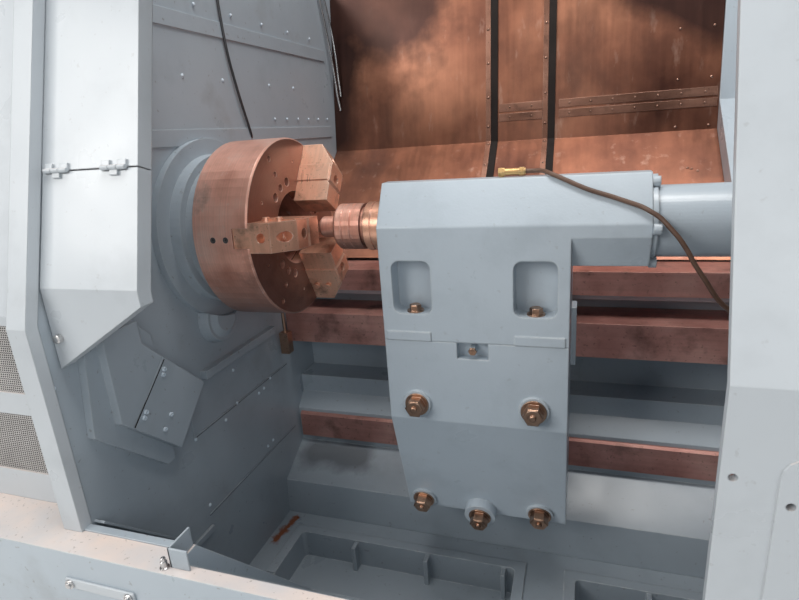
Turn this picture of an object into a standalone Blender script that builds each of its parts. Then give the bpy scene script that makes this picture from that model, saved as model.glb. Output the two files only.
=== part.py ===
"""A large slant-bed CNC turning lathe with its chuck, tailstock, turret carriage and enclosure.

Sizes are in metres. Places are given from the datum, the centre of the chuck's front face on the
spindle axis: +X to the tailstock, +Y into the machine, +Z up. "reach" is a distance from the datum
along X or Y, "drop" is a distance below the spindle axis and "rise" is a distance above it.
"""
import math

import bmesh
import bpy
from mathutils import Matrix, Vector

# Overall layout
AXIS_HEIGHT = 1.38
HEADSTOCK_BAY = 0.25
TAIL_BAY = 0.15
FRONT_REACH = 0.80
CABINET_DEPTH = 0.37
ROOF_RISE = 0.90
GAP = 0.0003
OVERCUT = 0.02
SHARP_ANGLE = math.radians(35)

# Enclosure planes
DECK_DROP = 0.587
PAN_DROP = 1.171
BEND_DROP = 0.0916
LEAN_ANGLE = math.radians(17.5)
PILLAR_FRONT_REACH = 0.666
PILLAR_DEPTH = 0.0287
PILLAR_WIDTH = 0.054
PANEL_RECESS = 0.071
SHEET = 0.012
HEADER_HEIGHT = 0.04
HEADER_DEPTH = 0.11
HEADER_OVERHANG = 0.015

# Machine base
LIP_REACH = 0.726
DECK_BACK_REACH = 0.637
NARROW_DECK_REACH = 0.693
NARROW_DECK_LEFT = 0.013
APRON_FOOT_REACH = 0.169
BASE_BACK_REACH = 1.13
FOOT_HEIGHT = 0.05
FOOT_RADIUS = 0.06
FOOT_COUNT = 4
FOOT_INSET = 0.15
POCKET_LEFT_REACH = 0.171
POCKET_LENGTH = 0.788
POCKET_WEB = 0.19
POCKET_COUNT = 2
POCKET_BACK_REACH = 0.073
POCKET_DEPTH = 0.10
POCKET_RIM_WIDTH = 0.034
POCKET_RIM_HEIGHT = 0.006
RIB_THICKNESS = 0.014
RIB_DEPTH = 0.035
RIB_PLACE_SHARES = (0.277, 0.618, 0.953)
RIGHT_DECK_LENGTH = 0.36

# Slant bed, as places on its cross-section
BED_LEFT_REACH = 1.10
BED_RIGHT_REACH = 2.30
BED_FOOT_REACH = 0.175
BED_SILL_REACH = 0.187
BED_SILL_DROP = 1.032
SLOPE_ANGLE = math.radians(42.2)
SLOPE_LENGTH = 0.592
SLOPE_FOOT_REACH = 0.53
SLOPE_FOOT_DROP = 0.214
BED_SLOPE_DEPTH = 0.06

# Ways
LOW_WAY_REACH = 0.333
LOW_WAY_THICKNESS = 0.014
LOW_WAY_TOP_DROP = 0.812
LOW_WAY_HEIGHT = 0.104
LOW_WAY_BEVEL = 0.008
LOW_NOSE_OVERHANG = 0.026
LOW_LEDGE_REACH = 0.402
LOW_LEDGE_DROP = 0.748
LOW_STEP_DROP = 0.676
BED_RECESS_REACH = 0.52
MID_WAY_REACH = 0.321
MID_WAY_DEPTH = 0.179
MID_WAY_TOP_DROP = 0.380
MID_WAY_HEIGHT = 0.116
MID_WAY_OVERHANG = 0.08
MID_BRACKET_DEPTH = 0.05
TOP_WAY_REACH = 0.375
TOP_WAY_DEPTH = 0.145
TOP_WAY_TOP_DROP = 0.223
TOP_WAY_HEIGHT = 0.079
TOP_WAY_OVERHANG = 0.055
TOP_BRACKET_DEPTH = 0.03
WAY_START_GAP = 0.012
REAR_WAY_START_SHARE = 0.60
REAR_WAY_WIDTH = 0.12
REAR_WAY_HEIGHT = 0.034

# Guard wall beside the chuck
WALL_REACH = 0.283
WALL_THICKNESS = 0.012
WALL_CORNER_REACH = 0.371
WALL_CORNER_DROP = 0.873
COVER_TOP_LEAN = math.radians(7.5)
STRIP_HEIGHT = 0.045
STRIP_THICKNESS = 0.004
STRIP_RISES = (0.295, 0.608)
STRIP_FRONT_REACH = 0.40
STRIP_BACK_REACH = 0.93
RAIL_DROP = 0.40
RAIL_FRONT_REACH = 0.182
RAIL_BACK_REACH = 0.2215
RAIL_HEIGHT = 0.026
RAIL_STAND = 0.022
FLANGE_WIDTH = 0.03
FLANGE_THICKNESS = 0.006

# Fittings on the guard wall
BOSS_REACH = 0.068
BOSS_DROP = 0.262
BOSS_RADIUS = 0.085
BOSS_RIM = 0.020
BOSS_STAND = 0.030
BOSS_DISC_STAND = 0.042
COVER_STEP = 0.022
STEPPED_TOP_DROP = 0.155
STEPPED_TOP_LEFT_REACH = 0.560
STEPPED_LEFT_REACH = 0.590
STEPPED_ELBOW_DROP = 0.385
STEPPED_TIP_REACH = 0.396
STEPPED_TIP_DROP = 0.579
STEPPED_INNER_REACH = 0.528
STEPPED_SHOULDER_REACH = 0.418
STEPPED_SHOULDER_DROP = 0.213
SETTER_CENTRE_REACH = 0.361
SETTER_CENTRE_DROP = 0.410
SETTER_HALF_DIAGONAL = 0.1355
SETTER_STAND = 0.046
VALVE_REACH = 0.26
VALVE_DROP = 0.477
VALVE_WIDTH = 0.034
VALVE_HEIGHT = 0.082
VALVE_STAND = 0.02
VALVE_PIPE_RADIUS = 0.006
VALVE_PIPE_LENGTH = 0.10

# Chuck guard and its flap
GUARD_FRONT_REACH = 0.635
GUARD_BEND_DROP = 0.017
GUARD_THICKNESS = 0.037
GUARD_FOOT_RIGHT_REACH = 0.023
GUARD_TOP_RIGHT_REACH = 0.045
GUARD_SEAM_RISE = 0.214
GUARD_SEAM_GAP = 0.003
FLAP_TIP_DROP = 0.200
FLAP_RIGHT_DROP = 0.050
HINGE_BARREL_RADIUS = 0.005
HINGE_BARREL_LENGTH = 0.062
HINGE_LEAF_HEIGHT = 0.015
HINGE_PLACE_SHARES = (0.06, 0.655)
KNOB_REACH = 0.2585
KNOB_DROP = 0.127
KNOB_RADIUS = 0.010
KNOB_LENGTH = 0.012
KNOB_RIM = 0.002

# Telescopic covers
COVER_SHEET = 0.004
COVER_LAP = COVER_SHEET + GAP
LEFT_COVER_END = 0.441
MIDDLE_COVER_START = 0.30
MIDDLE_COVER_END = 0.670
RIGHT_COVER_START = 0.55
CARRIAGE_LEFT = 1.27
COVER_EDGE_DEPTH = 0.018

# Spindle and drive
CHUCK_RADIUS = 0.254
CHUCK_DEPTH = 0.166
CHUCK_CHAMFER = 0.004
CHUCK_BORE_RADIUS = 0.105
CHUCK_HOLE_RADIUS = 0.0125
CHUCK_HOLE_DEPTH = 0.03
CHUCK_HOLE_CIRCLE = 0.135
CHUCK_HOLE_SPREAD = math.radians(17)
CHUCK_TAP_RADIUS = 0.008
CHUCK_TAP_DEPTH = 0.02
CHUCK_TAP_CIRCLES = (0.178, 0.226)
CHUCK_PIN_RADIUS = 0.004
CHUCK_PIN_CIRCLE = 0.189
CHUCK_SCREW_RADIUS = 0.011
CHUCK_SCREW_DEPTH = 0.02
JAW_TURN = math.radians(3.4)
JAW_COUNT = 3
JAW_INNER = 0.067
JAW_OUTER = 0.249
JAW_TAPER_START = 0.185
JAW_HEIGHT = 0.105
JAW_TIP_HEIGHT = 0.062
JAW_WIDTH = 0.076
JAW_NOTCH = 0.006
JAW_STEP_DEPTH = 0.003
JAW_STEP_START = 0.125
JAW_STEP_END = 0.182
MASTER_WIDTH = 0.052
MASTER_DEPTH = 0.045
MASTER_INNER = 0.109
JAW_BOLT_RADIUS = 0.014
JAW_BOLT_DEPTH = 0.035
JAW_BOLT_PLACES = (0.150, 0.212)
JAW_SIDE_HOLE_RADIUS = 0.013
JAW_SIDE_HOLES = ((0.035, 0.030), (0.084, 0.055))
JAW_STUD_RADIUS = 0.009
JAW_STUD_HEIGHT = 0.010
JAW_STUD_RISES = (0.030, 0.068)
RING_RADII = (0.268, 0.222, 0.200)
RING_ENDS = (0.020, 0.055, 0.098)
RING_BORE_RADIUS = 0.165
NOSE_RADIUS = 0.160
NOSE_LENGTH = 0.075
SPINDLE_RADIUS = 0.1297
SPINDLE_BORE_RADIUS = 0.0515
SPINDLE_TAIL_RADIUS = 0.10
HEADSTOCK_FRONT_REACH = 0.34
HEADSTOCK_RISE = 0.36
HEADSTOCK_BACK_REACH = 0.62
HEADSTOCK_SHOULDER = 0.08
BEARING_RADIUS = 0.19
BEARING_WIDTH = 0.09
BEARING_INSET = 0.05
PULLEY_INSET = 0.02
PULLEY_WIDTH = 0.08
PULLEY_FLANGE = 0.006
PULLEY_LIP = 0.015
SPINDLE_PULLEY_RADIUS = 0.18
MOTOR_PULLEY_RADIUS = 0.09
BELT_THICKNESS = 0.010
BELT_CLEARANCE = 0.0015
ACTUATOR_RADIUS = 0.15
ACTUATOR_LENGTH = 0.26
ACTUATOR_NECK_RADIUS = 0.09
MOTOR_REACH = 0.62
MOTOR_DROP = 0.90
MOTOR_RADIUS = 0.17
MOTOR_LENGTH = 0.40
MOTOR_SHAFT_RADIUS = 0.03
MOTOR_FOOT_WIDTH = 0.30

# Headstock cabinet
END_SHEET = 0.02
VENT_INSET = 0.02
VENT_DEPTH = 0.008
VENT_RIGHT_REACH = 0.36
VENT_WIDTH = 0.55
UPPER_VENT_TOP_DROP = 0.114
UPPER_VENT_HEIGHT = 0.171
LOWER_VENT_TOP_DROP = 0.342
LOWER_VENT_HEIGHT = 0.163

# Tailstock
TAIL_LEFT = 0.287
COLUMN_RIGHT = 0.775
TAIL_RIGHT = 0.949
TAIL_FRONT_REACH = 0.096
TAIL_EDGE_RISE = 0.010
TAIL_EDGE_ROUND = 0.012
TAIL_TOP_RISE = 0.118
TAIL_TOP_REACH = 0.025
TAIL_JOINT_DROP = 0.300
TAIL_BEND_DROP = 0.540
TAIL_FOOT_DROP = 0.914
TAIL_FOOT_REACH = 0.015
TAIL_BACK_REACH = 0.34
TAIL_BACK_FALL_SHARE = 1 / 3
TAIL_BACK_SHOULDER_REACH = 0.13
TAIL_BACK_SHOULDER_DROP = 0.03
OVERHANG_SKIRT_DROP = 0.0215
OVERHANG_CHIN_REACH = 0.062
OVERHANG_CHIN_DROP = 0.096
OVERHANG_BACK_DROP = 0.12
SHOE_REACH = 0.40
SHOE_THICKNESS = 0.065
CLAMP_HOOK_DEPTH = 0.03
TAIL_RELIEF_REACH = 0.29
TAIL_POCKET_LEFTS = (0.319, 0.639)
TAIL_POCKET_WIDTH = 0.107
TAIL_POCKET_TOP_DROP = 0.078
TAIL_POCKET_HEIGHT = 0.145
TAIL_POCKET_DEPTH = 0.055
TAIL_POCKET_ROUND = 0.022
TAIL_POCKET_BOLT_RADIUS = 0.0165
TAIL_POCKET_BOLT_HEIGHT = 0.016
KEY_LEFTS = (0.295, 0.641)
KEY_WIDTH = 0.125
KEY_HEIGHT = 0.026
KEY_STAND = 0.003
NOTCH_LEFT = 0.489
NOTCH_WIDTH = 0.084
NOTCH_HEIGHT = 0.046
NOTCH_DEPTH = 0.03
SET_SCREW_RADIUS = 0.012
CLAMP_BOLT_RADIUS = 0.0265
CLAMP_BOLT_HEIGHT = 0.030
CLAMP_BOSS_RADIUS = 0.040
CLAMP_BOSS_HEIGHT = 0.008
UPPER_CLAMP_PLACES = ((0.370, -0.489), (0.690, -0.483))
LOWER_CLAMP_PLACES = (0.340, 0.700)
LOWER_CLAMP_INSET = 0.035
CENTRE_CLAMP_PLACE = 0.522
CENTRE_CLAMP_RADIUS = 0.048
CENTRE_CLAMP_INSET = 0.018
CENTRE_CLAMP_HEIGHT = 0.030
WIPER_THICKNESS = 0.015
WIPER_TOP_DROP = 0.305
WIPER_DEPTH = 0.07
TAIL_BOSS_RADIUS = 0.062
TAIL_BOSS_LENGTH = 0.054
QUILL_RADIUS = 0.055
QUILL_STAND = 0.010
QUILL_LENGTH = 0.56
QUILL_STROKE = 0.12
CENTRE_BODY_RADIUS = 0.064
CENTRE_BODY_LENGTH = 0.079
CENTRE_GROOVE = 0.0025
CENTRE_NOSE_RADIUS = 0.030
CENTRE_NOSE_LENGTH = 0.060
CENTRE_TIP_RADIUS = 0.021
CENTRE_TIP_LENGTH = 0.010
CENTRE_SHANK_RADIUS = 0.032
SHANK_END_SHARE = 0.8
GROOVE_SHARES = (0.3, 0.62)
CENTRE_SHANK_LENGTH = 0.16
CYLINDER_RADIUS = 0.085
CYLINDER_END = 1.40
CYLINDER_CAP_RADIUS = 0.096
CYLINDER_CAP_LENGTH = 0.045
CYLINDER_BOLT_RADIUS = 0.013
CYLINDER_BOLT_LENGTH = 0.017
CYLINDER_BOLT_CIRCLE = 0.100
CYLINDER_BOLT_ANGLES = tuple(math.radians(a) for a in (-65, -1, 74, 106, 181, 245))
CYLINDER_SPIGOT_RADIUS = 0.050
CYLINDER_SPIGOT_LENGTH = 0.03
CYLINDER_FLANGE_RADIUS = 0.092
CYLINDER_FLANGE_LENGTH = 0.012

# Tailstock hose and its fitting
FITTING_LEFT = 0.592
FITTING_REACH = 0.010
FITTING_RADIUS = 0.009
FITTING_LENGTH = 0.068
FITTING_NUT_RADIUS = 0.012
FITTING_NUT_LENGTH = 0.016
FITTING_FOOT_RADIUS = 0.007
HOSE_RADIUS = 0.0055
HOSE_BEVEL_RESOLUTION = 2
HOSE_POINTS = 72

# Carriage and turret
CARRIAGE_RIGHT = 1.95
SADDLE_THICKNESS = 0.09
SADDLE_LENGTH = 0.70
SADDLE_FOOT_REACH = 0.392
SADDLE_GUARD_DEPTH = 0.020
CROSS_LEFT = 1.42
CROSS_RIGHT = 1.88
CROSS_START = 0.205
CROSS_LENGTH = 0.46
CROSS_THICKNESS = 0.08
TURRET_PLACE = 0.30
TURRET_RADIUS = 0.25
TURRET_LEFT = 1.50
TURRET_THICKNESS = 0.12
TURRET_STATIONS = 12
TURRET_CAP_RADIUS = 0.10
TURRET_CAP_LENGTH = 0.03
HOLDER_COUNT = 6
HOLDER_WIDTH = 0.07
HOLDER_LENGTH = 0.045
HOLDER_HEIGHT = 0.07
TOOL_SECTION = 0.025
TOOL_LENGTH = 0.04
HOUSING_WIDTH = 0.30
HOUSING_TOP = 0.66
HOUSING_RIGHT = 1.86

# Sliding door
DOOR_FRONT_REACH = 0.708
DOOR_THICKNESS = 0.04
DOOR_SKIN = 0.014
DOOR_RETURN_SETBACK = 0.03
DOOR_LEFT = 0.978
DOOR_WIDTH = 1.076
WINDOW_LEFT = 1.25
WINDOW_WIDTH = 0.58
WINDOW_START = 0.16
WINDOW_HEIGHT = 0.46
GLASS_THICKNESS = 0.010
REBATE = 0.012
EMBOSS_LEFT = 1.046
EMBOSS_WIDTH = 0.93
EMBOSS_TOP_DROP = 0.185
EMBOSS_HEIGHT = 0.34
EMBOSS_STAND = 0.004
EMBOSS_ROUND = 0.03
DOOR_HOLE_RADIUS = 0.006
DOOR_HOLE_PLACES = ((0.994, -0.223), (1.062, -0.255))
HANDLE_LEFT = 1.13
HANDLE_RISE = 0.02
HANDLE_LENGTH = 0.30
HANDLE_RADIUS = 0.011
HANDLE_STAND = 0.045
RIGHT_PANEL_LEFT = 1.02
RIGHT_PANEL_REACH = 0.660

# Control pendant
PENDANT_RIGHT = 2.40
PENDANT_WIDTH = 0.29
PENDANT_BASE_RISE = 0.02
PENDANT_HEIGHT = 0.52
PENDANT_DEPTH = 0.09
PENDANT_AXIS_REACH = 0.70
PENDANT_PIN_RADIUS = 0.010
PENDANT_EAR = 0.03
BRACKET_HEIGHT = 0.05
SCREEN_INSET = 0.025
SCREEN_HEIGHT = 0.18
SCREEN_DEPTH = 0.004
SWITCH_SIDE_INSET = 0.055
DIAL_INSET_SHARE = 3.4
WHEEL_INSET_SHARE = 1.5
SWITCH_ROW_RISE = 0.055
WHEEL_ROW_RISE = 0.135
STOP_RADIUS = 0.02
STOP_TOP_SHARE = 0.8
STOP_HEIGHT = 0.018
STOP_STEM_RADIUS = 0.008
STOP_STAND = 0.012
STOP_TRAVEL = 0.006
START_RADIUS = 0.012
START_STAND = 0.008
START_TRAVEL = 0.004
DIAL_RADIUS = 0.018
DIAL_TOP_SHARE = 0.9
DIAL_HEIGHT = 0.02
WHEEL_RADIUS = 0.035
WHEEL_HEIGHT = 0.014
WHEEL_GRIP_RADIUS = 0.006
WHEEL_GRIP_LENGTH = 0.012
SWITCH_HOLE_DEPTH = 0.03

# Services behind the machine
CABINET_LEFT_REACH = 1.60
CABINET_WIDTH = 1.10
CABINET_TOP_RISE = 0.55
CABINET_DOOR_THICKNESS = 0.022
CABINET_DOOR_MARGIN = 0.03
PLINTH_HEIGHT = 0.08
CABINET_PIN_RADIUS = 0.008
TANK_LEFT = 0.30
TANK_LENGTH = 1.50
TANK_HEIGHT = 0.42
TANK_DEPTH = 0.32
TANK_WALL = 0.01
TANK_HATCH_SHARE = 0.4
TANK_HATCH_MARGIN = 0.04
PUMP_RADIUS = 0.07
PUMP_HEIGHT = 0.26
PUMP_INSET = 0.16
PUMP_STEM_RADIUS = 0.035
REAR_SHEET = 0.012

# Facets of round pieces
BIG_SEGMENTS = 64
MEDIUM_SEGMENTS = 32
SMALL_SEGMENTS = 16
TINY_SEGMENTS = 10

LEFT_REACH = BED_LEFT_REACH + MOTOR_LENGTH + HEADSTOCK_BAY
RIGHT_REACH = BED_RIGHT_REACH + TAIL_BAY
BACK_REACH = BASE_BACK_REACH + CABINET_DEPTH
MACHINE_LENGTH = LEFT_REACH + RIGHT_REACH
MACHINE_DEPTH = FRONT_REACH + BACK_REACH
DATUM = Vector((LEFT_REACH - MACHINE_LENGTH / 2, FRONT_REACH - MACHINE_DEPTH / 2, AXIS_HEIGHT))
FLOOR_Z = -AXIS_HEIGHT
BASE_TOP_Z = -PAN_DROP
DECK_Z = -DECK_DROP
BEND_Z = -BEND_DROP
HEADER_Z = ROOF_RISE - HEADER_HEIGHT
PANEL_TOP_Z = HEADER_Z - 3 * GAP
WALL_X = -WALL_REACH
WALL_BACK_X = WALL_X - WALL_THICKNESS
UP_SLOPE = Vector((math.cos(SLOPE_ANGLE), math.sin(SLOPE_ANGLE)))
OFF_SLOPE = Vector((-math.sin(SLOPE_ANGLE), math.cos(SLOPE_ANGLE)))
SLOPE_FOOT = Vector((SLOPE_FOOT_REACH, -SLOPE_FOOT_DROP))
AXIS_OFF_SLOPE = -SLOPE_FOOT.dot(OFF_SLOPE)


def clear_scene():
    for thing in list(bpy.data.objects):
        bpy.data.objects.remove(thing, do_unlink=True)


def finish(name, colour, roughness, metallic):
    """One Principled material."""
    material = bpy.data.materials.new(name)
    material.use_nodes = True
    shader = material.node_tree.nodes["Principled BSDF"]
    shader.inputs["Base Color"].default_value = (*colour, 1.0)
    shader.inputs["Roughness"].default_value = roughness
    shader.inputs["Metallic"].default_value = metallic
    return material


clear_scene()
PAINT = finish("machine_paint", (0.42, 0.50, 0.56), 0.35, 0.0)
WARM_STEEL = finish("warm_bare_steel", (0.55, 0.30, 0.22), 0.38, 0.9)
COVER_STEEL = finish("cover_steel", (0.36, 0.21, 0.16), 0.35, 0.85)
BRIGHT_STEEL = finish("bright_steel", (0.60, 0.60, 0.61), 0.30, 1.0)
DARK_STEEL = finish("dark_steel", (0.10, 0.10, 0.11), 0.50, 0.6)
BRASS = finish("brass", (0.66, 0.42, 0.18), 0.35, 1.0)
HOSE_RUBBER = finish("brown_hose", (0.26, 0.13, 0.07), 0.55, 0.0)
BLACK_RUBBER = finish("black_rubber", (0.03, 0.03, 0.03), 0.70, 0.0)
BLACK_PLASTIC = finish("black_plastic", (0.05, 0.05, 0.055), 0.45, 0.0)
RED_PLASTIC = finish("red_plastic", (0.62, 0.03, 0.02), 0.40, 0.0)
GREEN_PLASTIC = finish("green_plastic", (0.04, 0.35, 0.10), 0.40, 0.0)
SAFETY_GLASS = finish("safety_glass", (0.75, 0.80, 0.80), 0.08, 0.0)


def prism(axis, outline, start, end):
    """Extrude an outline, given in the two other coordinates, along an axis."""
    order = {"x": (2, 0, 1), "y": (0, 2, 1), "z": (0, 1, 2)}[axis]
    shape = bmesh.new()

    def corner(point, along):
        values = (point[0], point[1], along)
        return shape.verts.new([values[i] for i in order])

    first = [corner(point, start) for point in outline]
    last = [corner(point, end) for point in outline]
    shape.faces.new(first)
    shape.faces.new(last[::-1])
    count = len(outline)
    for i in range(count):
        j = (i + 1) % count
        shape.faces.new((first[i], first[j], last[j], last[i]))
    bmesh.ops.recalc_face_normals(shape, faces=shape.faces)
    return shape


def box(x_range, y_range, z_range):
    outline = [(x_range[i], y_range[j]) for i, j in ((0, 0), (1, 0), (1, 1), (0, 1))]
    return prism("z", outline, *z_range)


def arc(centre, radius, start, end, segments):
    """Points of an arc, both ends included."""
    turn = (end - start) / segments
    return [(centre[0] + radius * math.cos(start + turn * i),
             centre[1] + radius * math.sin(start + turn * i)) for i in range(segments + 1)]


def rounded_rectangle(low, high, radius):
    """Outline of a rectangle with round corners."""
    quarter = math.pi / 2
    corners = ((low[0], low[1], 2), (high[0], low[1], 3), (high[0], high[1], 0), (low[0], high[1], 1))
    outline = []
    for x, y, turn in corners:
        centre = (x + radius if x == low[0] else x - radius, y + radius if y == low[1] else y - radius)
        outline += arc(centre, radius, turn * quarter, (turn + 1) * quarter, SMALL_SEGMENTS // 4)
    return outline


def turned(profile, centre=(0.0, 0.0), segments=MEDIUM_SEGMENTS, axis="x", closed=False):
    """Spin (place along the axis, radius) points about an axis; a closed profile makes a ring."""
    order = {"x": (0, 1, 2), "y": (1, 0, 2), "z": (1, 2, 0)}[axis]
    shape = bmesh.new()
    rings = []
    for place, radius in profile:
        count = segments if radius > 0 else 1
        ring = []
        for i in range(count):
            angle = 2 * math.pi * i / segments
            values = (place, centre[0] + radius * math.cos(angle), centre[1] + radius * math.sin(angle))
            ring.append(shape.verts.new([values[k] for k in order]))
        rings.append(ring)
    pairs = list(zip(rings, rings[1:]))
    if closed:
        pairs.append((rings[-1], rings[0]))
    else:
        for ring in (rings[0], rings[-1]):
            if len(ring) > 1:
                shape.faces.new(ring)
    for one, two in pairs:
        for i in range(segments):
            j = (i + 1) % segments
            corners = [one[i % len(one)], one[j % len(one)], two[j % len(two)], two[i % len(two)]]
            shape.faces.new(list(dict.fromkeys(corners)))
    bmesh.ops.recalc_face_normals(shape, faces=shape.faces)
    return shape


def drum(start, end, radius, centre=(0.0, 0.0), segments=MEDIUM_SEGMENTS, axis="x"):
    return turned([(start, radius), (end, radius)], centre, segments, axis)


def hexagon(start, end, radius, centre, axis):
    return turned([(start, radius), (end, radius)], centre, 6, axis)


def moved(shape, matrix):
    bmesh.ops.transform(shape, matrix=matrix, verts=shape.verts)
    return shape


def turn_about(axis, angle, point):
    """Rotation about a line through a point."""
    return Matrix.Translation(point) @ Matrix.Rotation(angle, 4,
                                                       axis) @ Matrix.Translation(-Vector(point))


def leaned(shape, front_reach):
    """Lean an upright piece back about the enclosure's bend line, on a plane at the given reach."""
    return moved(shape, turn_about("X", -LEAN_ANGLE, (0.0, -front_reach, BEND_Z)))


def scratch_object(shape):
    mesh = bpy.data.meshes.new("scratch")
    shape.to_mesh(mesh)
    shape.free()
    thing = bpy.data.objects.new("scratch", mesh)
    bpy.context.scene.collection.objects.link(thing)
    return thing


def combine(body, tools, operation):
    """Join tools to a body, or cut them out of it, one after the other."""
    for tool in tools:
        target = scratch_object(body)
        cutter = scratch_object(tool)
        step = target.modifiers.new("combine", "BOOLEAN")
        step.operation = operation
        step.solver = "EXACT"
        step.object = cutter
        bpy.context.view_layer.update()
        evaluated = target.evaluated_get(bpy.context.evaluated_depsgraph_get())
        result = bpy.data.meshes.new_from_object(evaluated)
        body = bmesh.new()
        body.from_mesh(result)
        bpy.data.objects.remove(target, do_unlink=True)
        bpy.data.objects.remove(cutter, do_unlink=True)
        bpy.data.meshes.remove(result)
    return body


def join(body, *tools):
    return combine(body, tools, "UNION")


def cut(body, *tools):
    return combine(body, tools, "DIFFERENCE")


def place(name, shape, material, pivot=(0.0, 0.0, 0.0), smooth=False):
    """Make the named object; its origin is the datum plus the pivot."""
    bmesh.ops.remove_doubles(shape, verts=shape.verts, dist=GAP / 10)
    moved(shape, Matrix.Translation(-Vector(pivot)))
    mesh = bpy.data.meshes.new(name)
    shape.to_mesh(mesh)
    shape.free()
    if smooth:
        mesh.shade_smooth()
        mesh.set_sharp_from_angle(angle=SHARP_ANGLE)
    mesh.materials.clear()
    mesh.materials.append(material)
    thing = bpy.data.objects.new(name, mesh)
    thing.location = DATUM + Vector(pivot)
    bpy.context.scene.collection.objects.link(thing)
    return thing


def leaned_y(front, z):
    """Y of an enclosure plane at a height: upright below the bend and leaning back above it."""
    return -front + max(0.0, z - BEND_Z) * math.tan(LEAN_ANGLE)


def bent_panel(front, thickness, bottom, top):
    """Side outline of a front panel that follows the bend."""
    heights = [bottom, BEND_Z, top]
    outer = [(leaned_y(front, z), z) for z in heights]
    inner = [(y + thickness, z) for y, z in outer]
    return outer + inner[::-1]


def slope_point(along, off):
    """Section point from a place along the bed's slope and a height off the covers' plane."""
    return tuple(SLOPE_FOOT + UP_SLOPE * along + OFF_SLOPE * off)


def cover_line(depth):
    """The covers' section line, set back by a depth: slope foot, bend and top."""
    bend = Vector(slope_point(SLOPE_LENGTH, 0.0))
    top = Vector((bend.x + (PANEL_TOP_Z - bend.y) * math.tan(COVER_TOP_LEAN), PANEL_TOP_Z))
    half = (math.pi / 2 - COVER_TOP_LEAN - SLOPE_ANGLE) / 2
    corner = bend - (UP_SLOPE * -math.tan(half) + OFF_SLOPE) * depth
    return [SLOPE_FOOT - OFF_SLOPE * depth, corner, top + Vector((depth / math.cos(COVER_TOP_LEAN), 0.0))]


def apron_z(y):
    """Height of the base's apron."""
    run = (y + DECK_BACK_REACH) / (DECK_BACK_REACH - APRON_FOOT_REACH)
    return DECK_Z + (BASE_TOP_Z - DECK_Z) * run


def grown(outline, distance):
    """Outline moved outwards by a distance, for outlines listed clockwise or anticlockwise."""
    area = sum(a[0] * b[1] - b[0] * a[1] for a, b in zip(outline, outline[1:] + outline[:1]))
    side = 1 if area > 0 else -1
    result = []
    for i, here in enumerate(outline):
        before, after = Vector(outline[i - 1]), Vector(outline[(i + 1) % len(outline)])
        point = Vector(here)
        one, two = (point - before).normalized(), (after - point).normalized()
        normals = [Vector((one.y, -one.x)) * side, Vector((two.y, -two.x)) * side]
        bisector = (normals[0] + normals[1]).normalized()
        result.append(tuple(point + bisector * distance / bisector.dot(normals[0])))
    return result


MID_SEAT_Z = -MID_WAY_TOP_DROP - MID_WAY_HEIGHT - GAP
TOP_SEAT_Z = -TOP_WAY_TOP_DROP - TOP_WAY_HEIGHT - GAP
LOW_NOSE_REACH = LOW_WAY_REACH + LOW_WAY_THICKNESS + GAP
LOW_WAY_BOTTOM_Z = -LOW_WAY_TOP_DROP - LOW_WAY_HEIGHT
MID_BACK = MID_WAY_REACH + MID_WAY_DEPTH + GAP
TOP_BACK = TOP_WAY_REACH + TOP_WAY_DEPTH + GAP


def bed_outline():
    """Cross-section of the slant bed, from its front foot up over the ways' seats and down its back."""
    low_slope = (LOW_LEDGE_DROP - LOW_WAY_TOP_DROP) / (LOW_LEDGE_REACH - LOW_WAY_REACH)
    nose_top = -LOW_WAY_TOP_DROP - low_slope * (LOW_NOSE_REACH - LOW_WAY_REACH)
    mid_lip = MID_WAY_REACH + MID_WAY_OVERHANG
    top_lip = TOP_WAY_REACH + TOP_WAY_OVERHANG
    return [
        (BED_FOOT_REACH, BASE_TOP_Z + GAP),
        (BED_SILL_REACH, -BED_SILL_DROP),
        (LOW_NOSE_REACH, LOW_WAY_BOTTOM_Z - LOW_NOSE_OVERHANG),
        (LOW_NOSE_REACH, nose_top),
        (LOW_LEDGE_REACH, -LOW_LEDGE_DROP),
        (LOW_LEDGE_REACH, -LOW_STEP_DROP),
        (BED_RECESS_REACH, -LOW_STEP_DROP),
        (BED_RECESS_REACH, MID_SEAT_Z - MID_BRACKET_DEPTH),
        (mid_lip, MID_SEAT_Z - MID_BRACKET_DEPTH / 2),
        (mid_lip, MID_SEAT_Z),
        (MID_BACK, MID_SEAT_Z),
        (MID_BACK, TOP_SEAT_Z - TOP_BRACKET_DEPTH),
        (top_lip, TOP_SEAT_Z - TOP_BRACKET_DEPTH),
        (top_lip, TOP_SEAT_Z),
        (TOP_BACK, TOP_SEAT_Z),
        slope_point(0.0, -BED_SLOPE_DEPTH),
        slope_point(SLOPE_LENGTH, -BED_SLOPE_DEPTH),
        (BASE_BACK_REACH, slope_point(SLOPE_LENGTH, -BED_SLOPE_DEPTH)[1]),
        (BASE_BACK_REACH, BASE_TOP_Z + GAP),
    ]


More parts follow.
